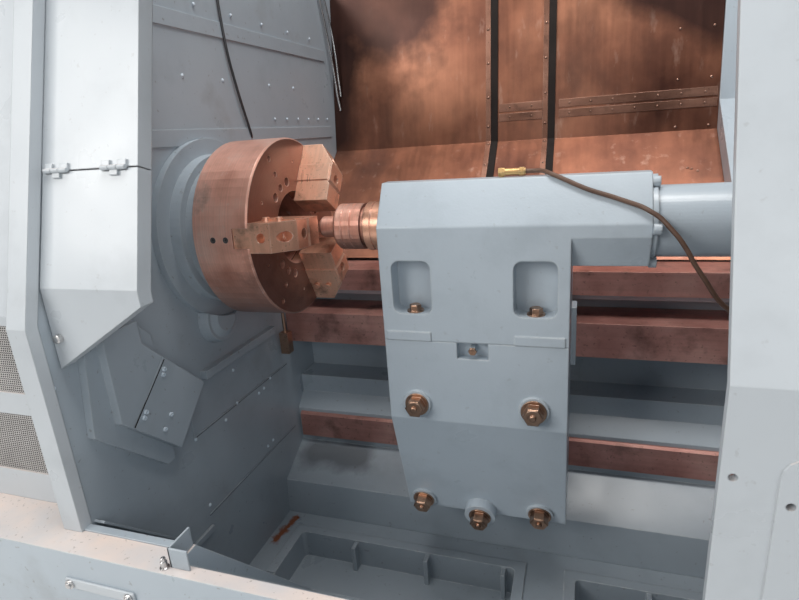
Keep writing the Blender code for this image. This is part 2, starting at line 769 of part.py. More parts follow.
def machine_base():
    """Base casting: front lip and deck, chip apron, pan with ribbed pockets, and levelling feet."""
    bottom = FLOOR_Z + FOOT_HEIGHT
    outline = [(-LIP_REACH, bottom), (-LIP_REACH, DECK_Z), (-NARROW_DECK_REACH, DECK_Z),
               (-APRON_FOOT_REACH, BASE_TOP_Z), (BASE_BACK_REACH, BASE_TOP_Z), (BASE_BACK_REACH, bottom)]
    body = prism("x", outline, -LEFT_REACH, RIGHT_REACH)
    left_block = box((-LEFT_REACH, WALL_BACK_X - GAP), (-LIP_REACH, BED_FOOT_REACH - GAP),
                     (bottom, DECK_Z))
    right_block = box((RIGHT_REACH - RIGHT_DECK_LENGTH, RIGHT_REACH), (-LIP_REACH, BED_FOOT_REACH - GAP),
                      (bottom, DECK_Z))
    corner = [(-NARROW_DECK_REACH, BASE_TOP_Z), (-NARROW_DECK_REACH, DECK_Z), (-DECK_BACK_REACH, DECK_Z),
              (-APRON_FOOT_REACH, BASE_TOP_Z)]
    corner_block = prism("x", corner, WALL_BACK_X - 2 * GAP, NARROW_DECK_LEFT)
    body = join(body, left_block, right_block, corner_block)
    front = -APRON_FOOT_REACH
    for i in range(POCKET_COUNT):
        left = -POCKET_LEFT_REACH + i * (POCKET_LENGTH + POCKET_WEB)
        right = left + POCKET_LENGTH
        rim = box((left - POCKET_RIM_WIDTH, right + POCKET_RIM_WIDTH),
                  (front + POCKET_RIM_WIDTH, POCKET_BACK_REACH + POCKET_RIM_WIDTH),
                  (BASE_TOP_Z - POCKET_RIM_HEIGHT, BASE_TOP_Z + POCKET_RIM_HEIGHT))
        pocket = prism("z",
                       rounded_rectangle((left, front + POCKET_RIM_HEIGHT), (right, POCKET_BACK_REACH),
                                              POCKET_RIM_WIDTH / 2),
                       BASE_TOP_Z - POCKET_DEPTH, BASE_TOP_Z + OVERCUT)
        body = cut(join(body, rim), pocket)
        for share in RIB_PLACE_SHARES:
            middle = left + POCKET_LENGTH * share
            rib = box((middle - RIB_THICKNESS / 2, middle + RIB_THICKNESS / 2),
                      (POCKET_BACK_REACH - RIB_DEPTH, POCKET_BACK_REACH + RIB_DEPTH),
                      (BASE_TOP_Z - POCKET_DEPTH - POCKET_RIM_HEIGHT, BASE_TOP_Z))
            body = join(body, rib)
    foot_run = (MACHINE_LENGTH - 2 * FOOT_INSET) / (FOOT_COUNT - 1)
    for i in range(FOOT_COUNT):
        for y in (-LIP_REACH + FOOT_INSET, BASE_BACK_REACH - FOOT_INSET):
            centre = (-LEFT_REACH + FOOT_INSET + i * foot_run, y)
            body = join(body,
                        drum(FLOOR_Z, bottom + FOOT_HEIGHT, FOOT_RADIUS, centre, SMALL_SEGMENTS, "z"))
    place("machine_base", body, PAINT)


def bed_and_ways():
    place("slant_bed", prism("x", bed_outline(), -BED_LEFT_REACH, BED_RIGHT_REACH), PAINT)
    start = WALL_X + WAY_START_GAP
    low = [(LOW_WAY_REACH, LOW_WAY_BOTTOM_Z), (LOW_WAY_REACH, -LOW_WAY_TOP_DROP - LOW_WAY_BEVEL),
           (LOW_WAY_REACH + LOW_WAY_BEVEL, -LOW_WAY_TOP_DROP),
           (LOW_WAY_REACH + LOW_WAY_THICKNESS, -LOW_WAY_TOP_DROP),
           (LOW_WAY_REACH + LOW_WAY_THICKNESS, LOW_WAY_BOTTOM_Z)]
    place("tailstock_way_lower", prism("x", low, start, BED_RIGHT_REACH), WARM_STEEL)
    place("tailstock_way_upper",
          box((start, BED_RIGHT_REACH), (MID_WAY_REACH, MID_WAY_REACH + MID_WAY_DEPTH),
              (MID_SEAT_Z + GAP, -MID_WAY_TOP_DROP)), WARM_STEEL)
    place("carriage_way_front",
          box((start, BED_RIGHT_REACH), (TOP_WAY_REACH, TOP_WAY_REACH + TOP_WAY_DEPTH),
              (TOP_SEAT_Z + GAP, -TOP_WAY_TOP_DROP)), WARM_STEEL)
    rear_start = SLOPE_LENGTH * REAR_WAY_START_SHARE
    rear = [slope_point(rear_start, GAP - BED_SLOPE_DEPTH),
            slope_point(rear_start + REAR_WAY_WIDTH, GAP - BED_SLOPE_DEPTH),
            slope_point(rear_start + REAR_WAY_WIDTH, REAR_WAY_HEIGHT - BED_SLOPE_DEPTH),
            slope_point(rear_start, REAR_WAY_HEIGHT - BED_SLOPE_DEPTH)]
    place("carriage_way_rear", prism("x", rear, start, BED_RIGHT_REACH), WARM_STEEL)


def headstock():
    """Headstock casting, bored for the spindle bearings and seated on the bed."""
    seat = [(-HEADSTOCK_FRONT_REACH, TOP_SEAT_Z + GAP), (TOP_BACK, TOP_SEAT_Z + GAP)]
    foot = Vector(slope_point(0.0, GAP - BED_SLOPE_DEPTH))
    back_along = (HEADSTOCK_BACK_REACH - foot.x) / UP_SLOPE.x
    heel = slope_point(back_along, GAP - BED_SLOPE_DEPTH)
    outline = seat + [tuple(foot), heel, (HEADSTOCK_BACK_REACH, HEADSTOCK_RISE - 2 * HEADSTOCK_SHOULDER),
                      (HEADSTOCK_BACK_REACH - 2 * HEADSTOCK_SHOULDER, HEADSTOCK_RISE),
                      (-HEADSTOCK_FRONT_REACH + HEADSTOCK_SHOULDER, HEADSTOCK_RISE),
                      (-HEADSTOCK_FRONT_REACH, HEADSTOCK_RISE - HEADSTOCK_SHOULDER)]
    front, back = WALL_BACK_X - GAP, -BED_LEFT_REACH
    body = prism("x", outline, back, front)
    body = cut(body, drum(back - OVERCUT, front + OVERCUT, BEARING_RADIUS + GAP, segments=BIG_SEGMENTS))
    place("headstock", body, PAINT)
    bearings = {"front_spindle_bearing": front - BEARING_INSET,
                "rear_spindle_bearing": back + BEARING_INSET + BEARING_WIDTH}
    for name, end in bearings.items():
        inner = SPINDLE_RADIUS + GAP
        ring = [(end - BEARING_WIDTH, inner), (end - BEARING_WIDTH, BEARING_RADIUS),
                (end, BEARING_RADIUS),
                (end, inner)]
        place(name, turned(ring, segments=BIG_SEGMENTS, closed=True), BRIGHT_STEEL, smooth=True)


PULLEY_RIGHT = -BED_LEFT_REACH - PULLEY_INSET
PULLEY_LEFT = PULLEY_RIGHT - PULLEY_WIDTH
SPINDLE_LEFT = PULLEY_LEFT - PULLEY_INSET


def pulley(radius, bore):
    """Closed ring profile of a flanged pulley on a shaft."""
    lip = radius + PULLEY_LIP
    return [(PULLEY_LEFT, bore), (PULLEY_LEFT, lip), (PULLEY_LEFT + PULLEY_FLANGE, lip),
            (PULLEY_LEFT + PULLEY_FLANGE, radius), (PULLEY_RIGHT - PULLEY_FLANGE, radius),
            (PULLEY_RIGHT - PULLEY_FLANGE, lip), (PULLEY_RIGHT, lip), (PULLEY_RIGHT, bore)]


def belt_outline(offset):
    """Outline of the belt loop around both pulleys, at an offset from their rims."""
    far = Vector((MOTOR_REACH, -MOTOR_DROP))
    big, small = SPINDLE_PULLEY_RADIUS + offset, MOTOR_PULLEY_RADIUS + offset
    heading = math.atan2(far.y, far.x)
    spread = math.acos((big - small) / far.length)
    loop = arc((0.0, 0.0), big, heading + spread, heading + 2 * math.pi - spread, MEDIUM_SEGMENTS)
    return loop + arc(far, small, heading - spread, heading + spread, SMALL_SEGMENTS)


def spindle_drive():
    nose_end = -CHUCK_DEPTH - GAP
    shoulder = nose_end - NOSE_LENGTH
    neck = -BED_LEFT_REACH - PULLEY_INSET / 2
    profile = [(nose_end, SPINDLE_BORE_RADIUS), (nose_end, NOSE_RADIUS), (shoulder, NOSE_RADIUS),
               (shoulder, SPINDLE_RADIUS), (neck, SPINDLE_RADIUS), (neck, SPINDLE_TAIL_RADIUS),
               (SPINDLE_LEFT, SPINDLE_TAIL_RADIUS), (SPINDLE_LEFT, SPINDLE_BORE_RADIUS)]
    place("spindle", turned(profile, segments=BIG_SEGMENTS, closed=True), BRIGHT_STEEL, smooth=True)
    place("spindle_pulley",
          turned(pulley(SPINDLE_PULLEY_RADIUS, SPINDLE_TAIL_RADIUS + GAP), segments=BIG_SEGMENTS,
                 closed=True),
          DARK_STEEL, smooth=True)
    right = SPINDLE_LEFT - GAP
    left = right - ACTUATOR_LENGTH
    actuator = [(right, SPINDLE_BORE_RADIUS), (right, ACTUATOR_RADIUS),
                (left + 2 * OVERCUT, ACTUATOR_RADIUS),
                (left + 2 * OVERCUT, ACTUATOR_NECK_RADIUS), (left, ACTUATOR_NECK_RADIUS),
                (left, SPINDLE_BORE_RADIUS)]
    place("chuck_actuator", turned(actuator, closed=True), BRIGHT_STEEL, smooth=True)

    centre = (MOTOR_REACH, -MOTOR_DROP)
    motor_right = SPINDLE_LEFT
    motor_left = motor_right - MOTOR_LENGTH
    body = drum(motor_left, motor_right, MOTOR_RADIUS, centre)
    foot = box((motor_left + OVERCUT, motor_right - OVERCUT),
               (MOTOR_REACH - MOTOR_FOOT_WIDTH / 2, MOTOR_REACH + MOTOR_FOOT_WIDTH / 2),
               (BASE_TOP_Z + GAP, -MOTOR_DROP))
    shaft = drum(motor_right - OVERCUT, PULLEY_RIGHT, MOTOR_SHAFT_RADIUS, centre, SMALL_SEGMENTS)
    place("spindle_motor", join(body, foot, shaft), PAINT, smooth=True)
    place("motor_pulley",
          turned(pulley(MOTOR_PULLEY_RADIUS, MOTOR_SHAFT_RADIUS + GAP), centre, closed=True),
          DARK_STEEL, pivot=(PULLEY_LEFT, *centre), smooth=True)
    belt_left, belt_right = PULLEY_LEFT + PULLEY_FLANGE + GAP, PULLEY_RIGHT - PULLEY_FLANGE - GAP
    belt = prism("x", belt_outline(BELT_CLEARANCE + BELT_THICKNESS), belt_left, belt_right)
    hollow = prism("x", belt_outline(BELT_CLEARANCE), belt_left - OVERCUT, belt_right + OVERCUT)
    place("drive_belt", cut(belt, hollow), BLACK_RUBBER)


def jaw_angle(i):
    """Angle of a jaw's centre line about the spindle axis, from +Y towards +Z."""
    return math.pi - JAW_TURN + i * 2 * math.pi / JAW_COUNT


def about_spindle(shape, angle):
    return moved(shape, Matrix.Rotation(angle, 4, "X"))


def chuck():
    """Chuck body with its bore, jaw slots and face holes."""
    edge = CHUCK_RADIUS - CHUCK_CHAMFER
    profile = [(-CHUCK_DEPTH, CHUCK_BORE_RADIUS), (-CHUCK_DEPTH, edge),
               (-CHUCK_DEPTH + CHUCK_CHAMFER, CHUCK_RADIUS),
               (-CHUCK_CHAMFER, CHUCK_RADIUS), (0.0, edge), (0.0, CHUCK_BORE_RADIUS)]
    body = turned(profile, segments=BIG_SEGMENTS, closed=True)
    slot_half = MASTER_WIDTH / 2 + GAP
    for i in range(JAW_COUNT):
        angle = jaw_angle(i)
        slot = box((-MASTER_DEPTH - GAP, OVERCUT), (CHUCK_BORE_RADIUS - OVERCUT, CHUCK_RADIUS + OVERCUT),
                   (-slot_half, slot_half))
        tools = [about_spindle(slot, angle)]
        between = math.pi / JAW_COUNT
        for side in (-1, 1):
            spread = angle + between + side * CHUCK_HOLE_SPREAD
            spot = (CHUCK_HOLE_CIRCLE * math.cos(spread), CHUCK_HOLE_CIRCLE * math.sin(spread))
            tools.append(drum(-CHUCK_HOLE_DEPTH, OVERCUT, CHUCK_HOLE_RADIUS, spot, SMALL_SEGMENTS))
            spread = angle + between + side * 2 * CHUCK_HOLE_SPREAD
            spot = (CHUCK_PIN_CIRCLE * math.cos(spread), CHUCK_PIN_CIRCLE * math.sin(spread))
            tools.append(drum(-CHUCK_TAP_DEPTH, OVERCUT, CHUCK_PIN_RADIUS, spot, TINY_SEGMENTS))
        for circle in CHUCK_TAP_CIRCLES:
            spot = (circle * math.cos(angle + between), circle * math.sin(angle + between))
            tools.append(drum(-CHUCK_TAP_DEPTH, OVERCUT, CHUCK_TAP_RADIUS, spot, TINY_SEGMENTS))
        spot = (CHUCK_HOLE_CIRCLE * math.cos(angle + between),
                CHUCK_HOLE_CIRCLE * math.sin(angle + between))
        tools.append(drum(-CHUCK_SCREW_DEPTH, OVERCUT, CHUCK_SCREW_RADIUS, spot, TINY_SEGMENTS))
        body = cut(body, *tools)
    place("chuck_body", body, WARM_STEEL, smooth=True)


def chuck_jaw(i):
    """One master jaw in its slot, with the hard top jaw bolted on it."""
    half = JAW_WIDTH / 2
    outline = [(GAP, JAW_INNER), (JAW_HEIGHT, JAW_INNER), (JAW_HEIGHT, JAW_STEP_START - JAW_NOTCH),
               (JAW_HEIGHT - JAW_NOTCH, JAW_STEP_START), (JAW_HEIGHT, JAW_STEP_START + JAW_NOTCH),
               (JAW_HEIGHT, JAW_TAPER_START), (JAW_TIP_HEIGHT, JAW_OUTER), (GAP, JAW_OUTER)]
    top = prism("z", outline, -half, half)
    step = box((GAP, JAW_HEIGHT - JAW_NOTCH), (JAW_STEP_START + JAW_NOTCH, JAW_STEP_END),
               (-half - JAW_STEP_DEPTH, half + JAW_STEP_DEPTH))
    master = box((-MASTER_DEPTH, JAW_NOTCH), (MASTER_INNER, JAW_OUTER),
                 (-MASTER_WIDTH / 2, MASTER_WIDTH / 2))
    body = join(top, step, master)
    tools = [drum(JAW_HEIGHT - JAW_BOLT_DEPTH, JAW_HEIGHT + OVERCUT, JAW_BOLT_RADIUS, (r, 0.0),
                  SMALL_SEGMENTS)
             for r in JAW_BOLT_PLACES]
    tools += [drum(JAW_OUTER - depth, JAW_OUTER + OVERCUT, JAW_SIDE_HOLE_RADIUS, (x, 0.0), SMALL_SEGMENTS,
                   "y")
              for x, depth in JAW_SIDE_HOLES]
    body = cut(body, *tools)
    stud_radius = (JAW_TAPER_START + JAW_STEP_END) / 2 + JAW_STUD_RADIUS
    for rise in JAW_STUD_RISES:
        spot = (rise - JAW_STUD_RADIUS, stud_radius)
        body = join(body,
                    drum(-half - JAW_STUD_HEIGHT, -half + JAW_NOTCH, JAW_STUD_RADIUS, spot, TINY_SEGMENTS,
                         "z"))
    place(f"chuck_jaw_{i + 1}", about_spindle(body, jaw_angle(i)), WARM_STEEL)


def flange_ring():
    """Stepped ring that seals the spindle nose at the guard wall."""
    profile = [(WALL_X + GAP, RING_BORE_RADIUS)]
    start = WALL_X + GAP
    for radius, end in zip(RING_RADII, RING_ENDS):
        profile += [(start, radius), (WALL_X + end, radius)]
        start = WALL_X + end
    profile.append((start, RING_BORE_RADIUS))
    place("spindle_flange_ring", turned(profile, segments=BIG_SEGMENTS, closed=True), PAINT, smooth=True)


def guard_wall():
    """Guard plate between the headstock and the work zone, with its lap strips and rail."""
    front_top = leaned_y(DECK_BACK_REACH, PANEL_TOP_Z)
    cover = cover_line(-GAP)
    outline = [(-DECK_BACK_REACH, DECK_Z + GAP), (-DECK_BACK_REACH, BEND_Z), (front_top, PANEL_TOP_Z)]
    outline += [tuple(cover[2]), tuple(cover[1]), tuple(cover[0])]
    outline += [(BASE_BACK_REACH - REAR_SHEET, -SLOPE_FOOT_DROP),
                (BASE_BACK_REACH - REAR_SHEET, BASE_TOP_Z + GAP)]
    outline += [(-APRON_FOOT_REACH + GAP, BASE_TOP_Z + GAP),
                (-WALL_CORNER_REACH, apron_z(-WALL_CORNER_REACH) + 2 * GAP),
                (-WALL_CORNER_REACH, -WALL_CORNER_DROP)]
    body = prism("x", outline, WALL_BACK_X, WALL_X)
    body = cut(body, prism("x", grown(bed_outline(), GAP), WALL_BACK_X - OVERCUT, WALL_X + OVERCUT),
               drum(WALL_BACK_X - OVERCUT, WALL_X + OVERCUT, RING_BORE_RADIUS, segments=BIG_SEGMENTS))
    for rise in STRIP_RISES:
        front = leaned_y(STRIP_FRONT_REACH, rise)
        strip = box((WALL_X - STRIP_THICKNESS, WALL_X + STRIP_THICKNESS), (front, STRIP_BACK_REACH),
                    (rise - STRIP_HEIGHT, rise))
        body = join(body, cut(strip, drum(WALL_X - OVERCUT, WALL_X + OVERCUT, RING_RADII[0] + GAP,
                                          segments=BIG_SEGMENTS)))
    rail = box((WALL_X - STRIP_THICKNESS, WALL_X + RAIL_STAND), (-RAIL_FRONT_REACH, RAIL_BACK_REACH),
               (-RAIL_DROP - RAIL_HEIGHT, -RAIL_DROP))
    run = Vector((DECK_BACK_REACH - WALL_CORNER_REACH, DECK_DROP - WALL_CORNER_DROP))
    across = Vector((run.y, -run.x)).normalized() * FLANGE_THICKNESS
    start = Vector((-DECK_BACK_REACH, DECK_Z)) + run.normalized() * FLANGE_THICKNESS - across
    end = Vector((-WALL_CORNER_REACH, -WALL_CORNER_DROP)) - run.normalized() * FLANGE_THICKNESS - across
    flange = prism("x", [tuple(start), tuple(end), tuple(end - across), tuple(start - across)],
                   WALL_X - STRIP_THICKNESS, WALL_X + FLANGE_WIDTH)
    place("guard_wall", join(body, rail, flange), PAINT)


def wall_fittings():
    centre = (-BOSS_REACH, -BOSS_DROP)
    start = WALL_X + GAP
    profile = [(start, 0.0), (start, BOSS_RADIUS), (WALL_X + BOSS_STAND, BOSS_RADIUS - BOSS_RIM / 2),
               (WALL_X + BOSS_STAND, BOSS_RADIUS - BOSS_RIM), (WALL_X + BOSS_DISC_STAND,
                                                               BOSS_RADIUS - 2 * BOSS_RIM),
               (WALL_X + BOSS_DISC_STAND, 0.0)]
    boss = turned(profile, centre)
    boss = cut(boss, drum(WALL_X - OVERCUT, WALL_X + 2 * BOSS_DISC_STAND, RING_RADII[0] + GAP,
                          segments=BIG_SEGMENTS))
    place("wall_port_boss", boss, PAINT, smooth=True)

    first, second = WALL_X + COVER_STEP, WALL_X + 2 * COVER_STEP
    centre = Vector((-SETTER_CENTRE_REACH, -SETTER_CENTRE_DROP))
    reach = SETTER_HALF_DIAGONAL
    square = [tuple(centre + Vector(point)) for point in ((0, reach), (reach, 0), (0, -reach),
                                                          (-reach, 0))]
    lower = [(-STEPPED_TOP_LEFT_REACH, -STEPPED_TOP_DROP), (-STEPPED_LEFT_REACH, -STEPPED_ELBOW_DROP),
             (-STEPPED_TIP_REACH, -STEPPED_TIP_DROP), (-STEPPED_TIP_REACH + FLANGE_WIDTH,
                                                       -STEPPED_TIP_DROP),
             (-SETTER_CENTRE_REACH, -STEPPED_SHOULDER_DROP), (-STEPPED_SHOULDER_REACH, -STEPPED_TOP_DROP)]
    upper = [(-STEPPED_INNER_REACH, -STEPPED_TOP_DROP),
             (-STEPPED_INNER_REACH, square[3][1] + FLANGE_WIDTH),
             square[3], square[0], (-STEPPED_SHOULDER_REACH, -STEPPED_SHOULDER_DROP),
             (-STEPPED_SHOULDER_REACH, -STEPPED_TOP_DROP)]
    cover = join(prism("x", lower, start, first), prism("x", upper, start, second))
    cover = cut(cover, prism("x", grown(square, GAP), WALL_X - OVERCUT, second + OVERCUT))
    place("setter_arm_cover", cover, PAINT)
    place("setter_arm_plate", prism("x", square, start, WALL_X + SETTER_STAND), PAINT)

    pipe_top = -VALVE_DROP + VALVE_HEIGHT / 2 + VALVE_PIPE_LENGTH
    x_range = (start, start + VALVE_STAND + VALVE_WIDTH)
    valve = box((x_range[0] + VALVE_STAND, x_range[1]),
                (VALVE_REACH - VALVE_WIDTH / 2, VALVE_REACH + VALVE_WIDTH / 2),
                (-VALVE_DROP - VALVE_HEIGHT / 2, -VALVE_DROP + VALVE_HEIGHT / 2))
    pipe_x = (x_range[0] + VALVE_STAND + x_range[1]) / 2
    pipe = drum(-VALVE_DROP, pipe_top, VALVE_PIPE_RADIUS, (pipe_x, VALVE_REACH), TINY_SEGMENTS, "z")
    elbow = drum(start, pipe_x + VALVE_PIPE_RADIUS, VALVE_PIPE_RADIUS,
                 (VALVE_REACH, pipe_top - VALVE_PIPE_RADIUS), TINY_SEGMENTS)
    place("coolant_valve", join(valve, pipe, elbow), BRASS)


def enclosure_front():
    """Pillar, header, headstock panel with its vents, and the fixed right panel."""
    pillar_left = WALL_X - PILLAR_WIDTH + STRIP_THICKNESS
    pillar = bent_panel(PILLAR_FRONT_REACH, PILLAR_DEPTH, DECK_Z + GAP, PANEL_TOP_Z)
    place("left_pillar", prism("x", pillar, pillar_left, WALL_X + STRIP_THICKNESS), PAINT)

    front = PILLAR_FRONT_REACH - PANEL_RECESS
    panel = prism("x", bent_panel(front, END_SHEET, DECK_Z + GAP, PANEL_TOP_Z), -LEFT_REACH,
                  pillar_left - GAP)
    right = -VENT_RIGHT_REACH
    rows = ((UPPER_VENT_TOP_DROP, UPPER_VENT_HEIGHT), (LOWER_VENT_TOP_DROP, LOWER_VENT_HEIGHT))
    for top_drop, height in rows:
        panel = cut(panel, box((right - VENT_WIDTH, right), (-front - OVERCUT, -front + VENT_DEPTH),
                               (-top_drop - height, -top_drop)))
    place("headstock_panel", panel, PAINT)

    reach = -leaned_y(DOOR_FRONT_REACH, HEADER_Z)
    header = box((pillar_left, RIGHT_REACH),
                 (-reach - HEADER_OVERHANG, -reach - HEADER_OVERHANG + HEADER_DEPTH + END_SHEET),
                 (HEADER_Z, ROOF_RISE))
    place("door_header", header, PAINT)

    panel = prism("x", bent_panel(RIGHT_PANEL_REACH, END_SHEET, DECK_Z + GAP, PANEL_TOP_Z),
                  RIGHT_PANEL_LEFT, RIGHT_REACH)
    axis = (pendant_axis_x(), -PENDANT_AXIS_REACH)
    for low in (PENDANT_BASE_RISE - BRACKET_HEIGHT - GAP, PENDANT_BASE_RISE + PENDANT_HEIGHT + GAP):
        back = leaned_y(RIGHT_PANEL_REACH, low) + END_SHEET / 2
        ear = box((axis[0] - PENDANT_EAR / 2, axis[0] + PENDANT_EAR / 2),
                  (axis[1] - PENDANT_EAR / 2, back),
                  (low, low + BRACKET_HEIGHT))
        panel = join(panel, ear)
    pin = drum(PENDANT_BASE_RISE - BRACKET_HEIGHT / 2,
               PENDANT_BASE_RISE + PENDANT_HEIGHT + BRACKET_HEIGHT / 2,
               PENDANT_PIN_RADIUS, axis, SMALL_SEGMENTS, "z")
    place("right_front_panel", join(panel, pin), PAINT)


def end_outline(front):
    """Side outline of an end cover that stands on the base's deck and pan."""
    back = BASE_BACK_REACH - GAP
    top = HEADER_Z - GAP
    return [(-front, DECK_Z + GAP), (-front, BEND_Z), (leaned_y(front, top), top), (back, top),
            (back, BASE_TOP_Z + GAP), (BED_FOOT_REACH + GAP, BASE_TOP_Z + GAP),
            (BED_FOOT_REACH + GAP, DECK_Z + GAP)]


def end_covers():
    """Headstock and tail-end covers, each an end wall and a roof folded as one, and the rear casing."""
    front = PILLAR_FRONT_REACH - PANEL_RECESS - END_SHEET - GAP
    wall = prism("x", end_outline(front), -LEFT_REACH, -LEFT_REACH + END_SHEET)
    roof_front = leaned_y(PILLAR_FRONT_REACH - PANEL_RECESS, HEADER_Z)
    roof = box((-LEFT_REACH, WALL_X - PILLAR_WIDTH), (roof_front, BASE_BACK_REACH - GAP),
               (HEADER_Z - 2 * GAP, ROOF_RISE))
    place("headstock_cover", join(wall, roof), PAINT)

    front = RIGHT_PANEL_REACH - END_SHEET - GAP
    wall = prism("x", end_outline(front), RIGHT_REACH - END_SHEET, RIGHT_REACH)
    roof_left = CARRIAGE_RIGHT
    roof_front = leaned_y(DOOR_FRONT_REACH, HEADER_Z) - HEADER_OVERHANG + HEADER_DEPTH + END_SHEET + GAP
    roof = box((roof_left, RIGHT_REACH), (roof_front, BASE_BACK_REACH - GAP),
               (HEADER_Z - 2 * GAP, ROOF_RISE))
    place("tail_end_cover", join(wall, roof), PAINT)

    rear = box((-LEFT_REACH, RIGHT_REACH), (BASE_BACK_REACH + GAP, BASE_BACK_REACH + REAR_SHEET),
               (FLOOR_Z + FOOT_HEIGHT, ROOF_RISE))
    place("rear_casing", rear, PAINT)


def guard_plate(outline):
    return prism("y", outline, -GUARD_FRONT_REACH, -GUARD_FRONT_REACH + GUARD_THICKNESS)


def chuck_guard():
    """Fixed upper guard in front of the chuck, and the flap hinged to its lower edge."""
    left = WALL_X + GAP
    stretch = 1 / math.cos(LEAN_ANGLE)
    seam = BEND_Z + (GUARD_SEAM_RISE - BEND_Z) * stretch
    top = BEND_Z + (PANEL_TOP_Z - BEND_Z) * stretch - GUARD_THICKNESS
    low_right = BEND_Z + (BEND_DROP - GUARD_BEND_DROP) * stretch - (FLAP_RIGHT_DROP - GUARD_BEND_DROP)

    def right_edge(z):
        share = (z - low_right) / (top - low_right)
        return -GUARD_FOOT_RIGHT_REACH - (GUARD_TOP_RIGHT_REACH - GUARD_FOOT_RIGHT_REACH) * share

    low = seam + GUARD_SEAM_GAP
    frame = guard_plate([(left, low), (left, top), (right_edge(top), top), (right_edge(low), low)])
    right = right_edge(seam)
    width = right - left
    hinge_y = -GUARD_FRONT_REACH - HINGE_BARREL_RADIUS
    hinge_z = seam + GUARD_SEAM_GAP / 2
    lugs, leaves = [], []
    for share in HINGE_PLACE_SHARES:
        start = left + width * share
        third = HINGE_BARREL_LENGTH / 3
        for k, group in ((0, lugs), (1, leaves), (2, lugs)):
            ends = (start + k * third + GAP, start + (k + 1) * third - GAP)
            group.append((ends, third))
    for ends, _ in lugs:
        frame = join(frame, hinge_knuckle(ends, hinge_y, hinge_z, 1))
    frame = cut(frame, *[hinge_relief(ends, hinge_y, hinge_z) for ends, _ in leaves])
    place("chuck_guard_frame", leaned(frame, GUARD_FRONT_REACH), PAINT)

    fold = BEND_Z + (BEND_DROP - GUARD_BEND_DROP) * stretch
    tip = fold - (FLAP_TIP_DROP - GUARD_BEND_DROP)
    flap_left = WALL_X + STRIP_THICKNESS + 2 * GAP
    flap = guard_plate([(flap_left, seam), (flap_left, tip), (right_edge(low_right), low_right),
                        (right, seam)])
    for ends, _ in leaves:
        flap = join(flap, hinge_knuckle(ends, hinge_y, hinge_z, -1))
    flap = cut(flap, *[hinge_relief(ends, hinge_y, hinge_z) for ends, _ in lugs])
    flap = folded_upright(flap, fold)
    face = leaned_y(GUARD_FRONT_REACH, -GUARD_BEND_DROP)
    back = face + GUARD_THICKNESS * math.cos(LEAN_ANGLE)
    spot = (-KNOB_REACH, -KNOB_DROP)
    shaft_radius = KNOB_RADIUS / 2
    flap = cut(flap, drum(face - OVERCUT, back + OVERCUT, shaft_radius + GAP, spot, SMALL_SEGMENTS, "y"))
    hinge_point = Vector(((left + right) / 2, hinge_y, hinge_z))
    pivot = turn_about("X", -LEAN_ANGLE, (0.0, -GUARD_FRONT_REACH, BEND_Z)) @ hinge_point
    place("chuck_guard_flap", flap, PAINT, pivot=pivot)

    knob = turned([(face - KNOB_LENGTH, 0.0), (face - KNOB_LENGTH, KNOB_RADIUS - KNOB_RIM),
                   (face - KNOB_LENGTH + KNOB_RIM, KNOB_RADIUS), (face - GAP, KNOB_RADIUS), (face - GAP,
                                                                                             shaft_radius),
                   (back, shaft_radius), (back, 0.0)], spot, SMALL_SEGMENTS, "y")
    place("flap_latch_knob", knob, BRIGHT_STEEL, pivot=(-KNOB_REACH, face, -KNOB_DROP), smooth=True)


def folded_upright(shape, fold):
    """Lean the guard's plate back above its fold line and let it hang upright below it."""
    bmesh.ops.bisect_plane(shape, geom=shape.verts[:] + shape.edges[:] + shape.faces[:],
                           plane_co=(0.0, 0.0, fold), plane_no=(0.0, 0.0, 1.0))
    lean = turn_about("X", -LEAN_ANGLE, (0.0, -GUARD_FRONT_REACH, BEND_Z))
    for vert in shape.verts:
        x, y, z = vert.co
        if z < fold - GAP:
            base = lean @ Vector((x, -GUARD_FRONT_REACH, fold))
            vert.co = (x, base.y + (y + GUARD_FRONT_REACH) * math.cos(LEAN_ANGLE), base.z - (fold - z))
        else:
            vert.co = lean @ vert.co
    return shape


def hinge_knuckle(ends, y, z, side):
    """One knuckle of a butt hinge with its leaf, on the upper (1) or lower (-1) side of the seam."""
    barrel = drum(*ends, HINGE_BARREL_RADIUS, (y, z), TINY_SEGMENTS)
    leaf = box(ends, (y, y + 2 * HINGE_BARREL_RADIUS), tuple(sorted((z, z + side * HINGE_LEAF_HEIGHT))))
    return join(barrel, leaf)


def hinge_relief(ends, y, z):
    """Clearance round the other side's knuckles."""
    reach = HINGE_BARREL_RADIUS + GUARD_SEAM_GAP
    return drum(ends[0] - 3 * GAP, ends[1] + 3 * GAP, reach, (y, z), SMALL_SEGMENTS)


def telescopic_cover(name, start, end, laps):
    """One bent sheet of the way covers, with a folded lip at its right end."""
    outer, inner = cover_line(laps * COVER_LAP), cover_line(laps * COVER_LAP + COVER_SHEET)
    outline = [tuple(p) for p in outer] + [tuple(p) for p in inner[::-1]]
    place(name, prism("x", outline, start, end), COVER_STEEL)


def covers():
    telescopic_cover("way_cover_left", WALL_X + GAP, LEFT_COVER_END, 0)
    telescopic_cover("way_cover_middle", MIDDLE_COVER_START, MIDDLE_COVER_END, 1)
    telescopic_cover("way_cover_right", RIGHT_COVER_START, CARRIAGE_LEFT - GAP, 2)


def clamp_bolt(x, y, z, tilt, boss_radius, boss_height, head_radius):
    """Hexagon bolt head on a round boss, its axis square to a face tilted about X."""
    boss = drum(-boss_height, OVERCUT / 2, boss_radius, (0.0, 0.0), MEDIUM_SEGMENTS, "y")
    head = hexagon(-boss_height - CLAMP_BOLT_HEIGHT, -boss_height + GAP, head_radius, (0.0, 0.0), "y")
    bolt = join(boss, head)
    return moved(bolt, Matrix.Translation((x, y, z)) @ Matrix.Rotation(tilt, 4, "X"))


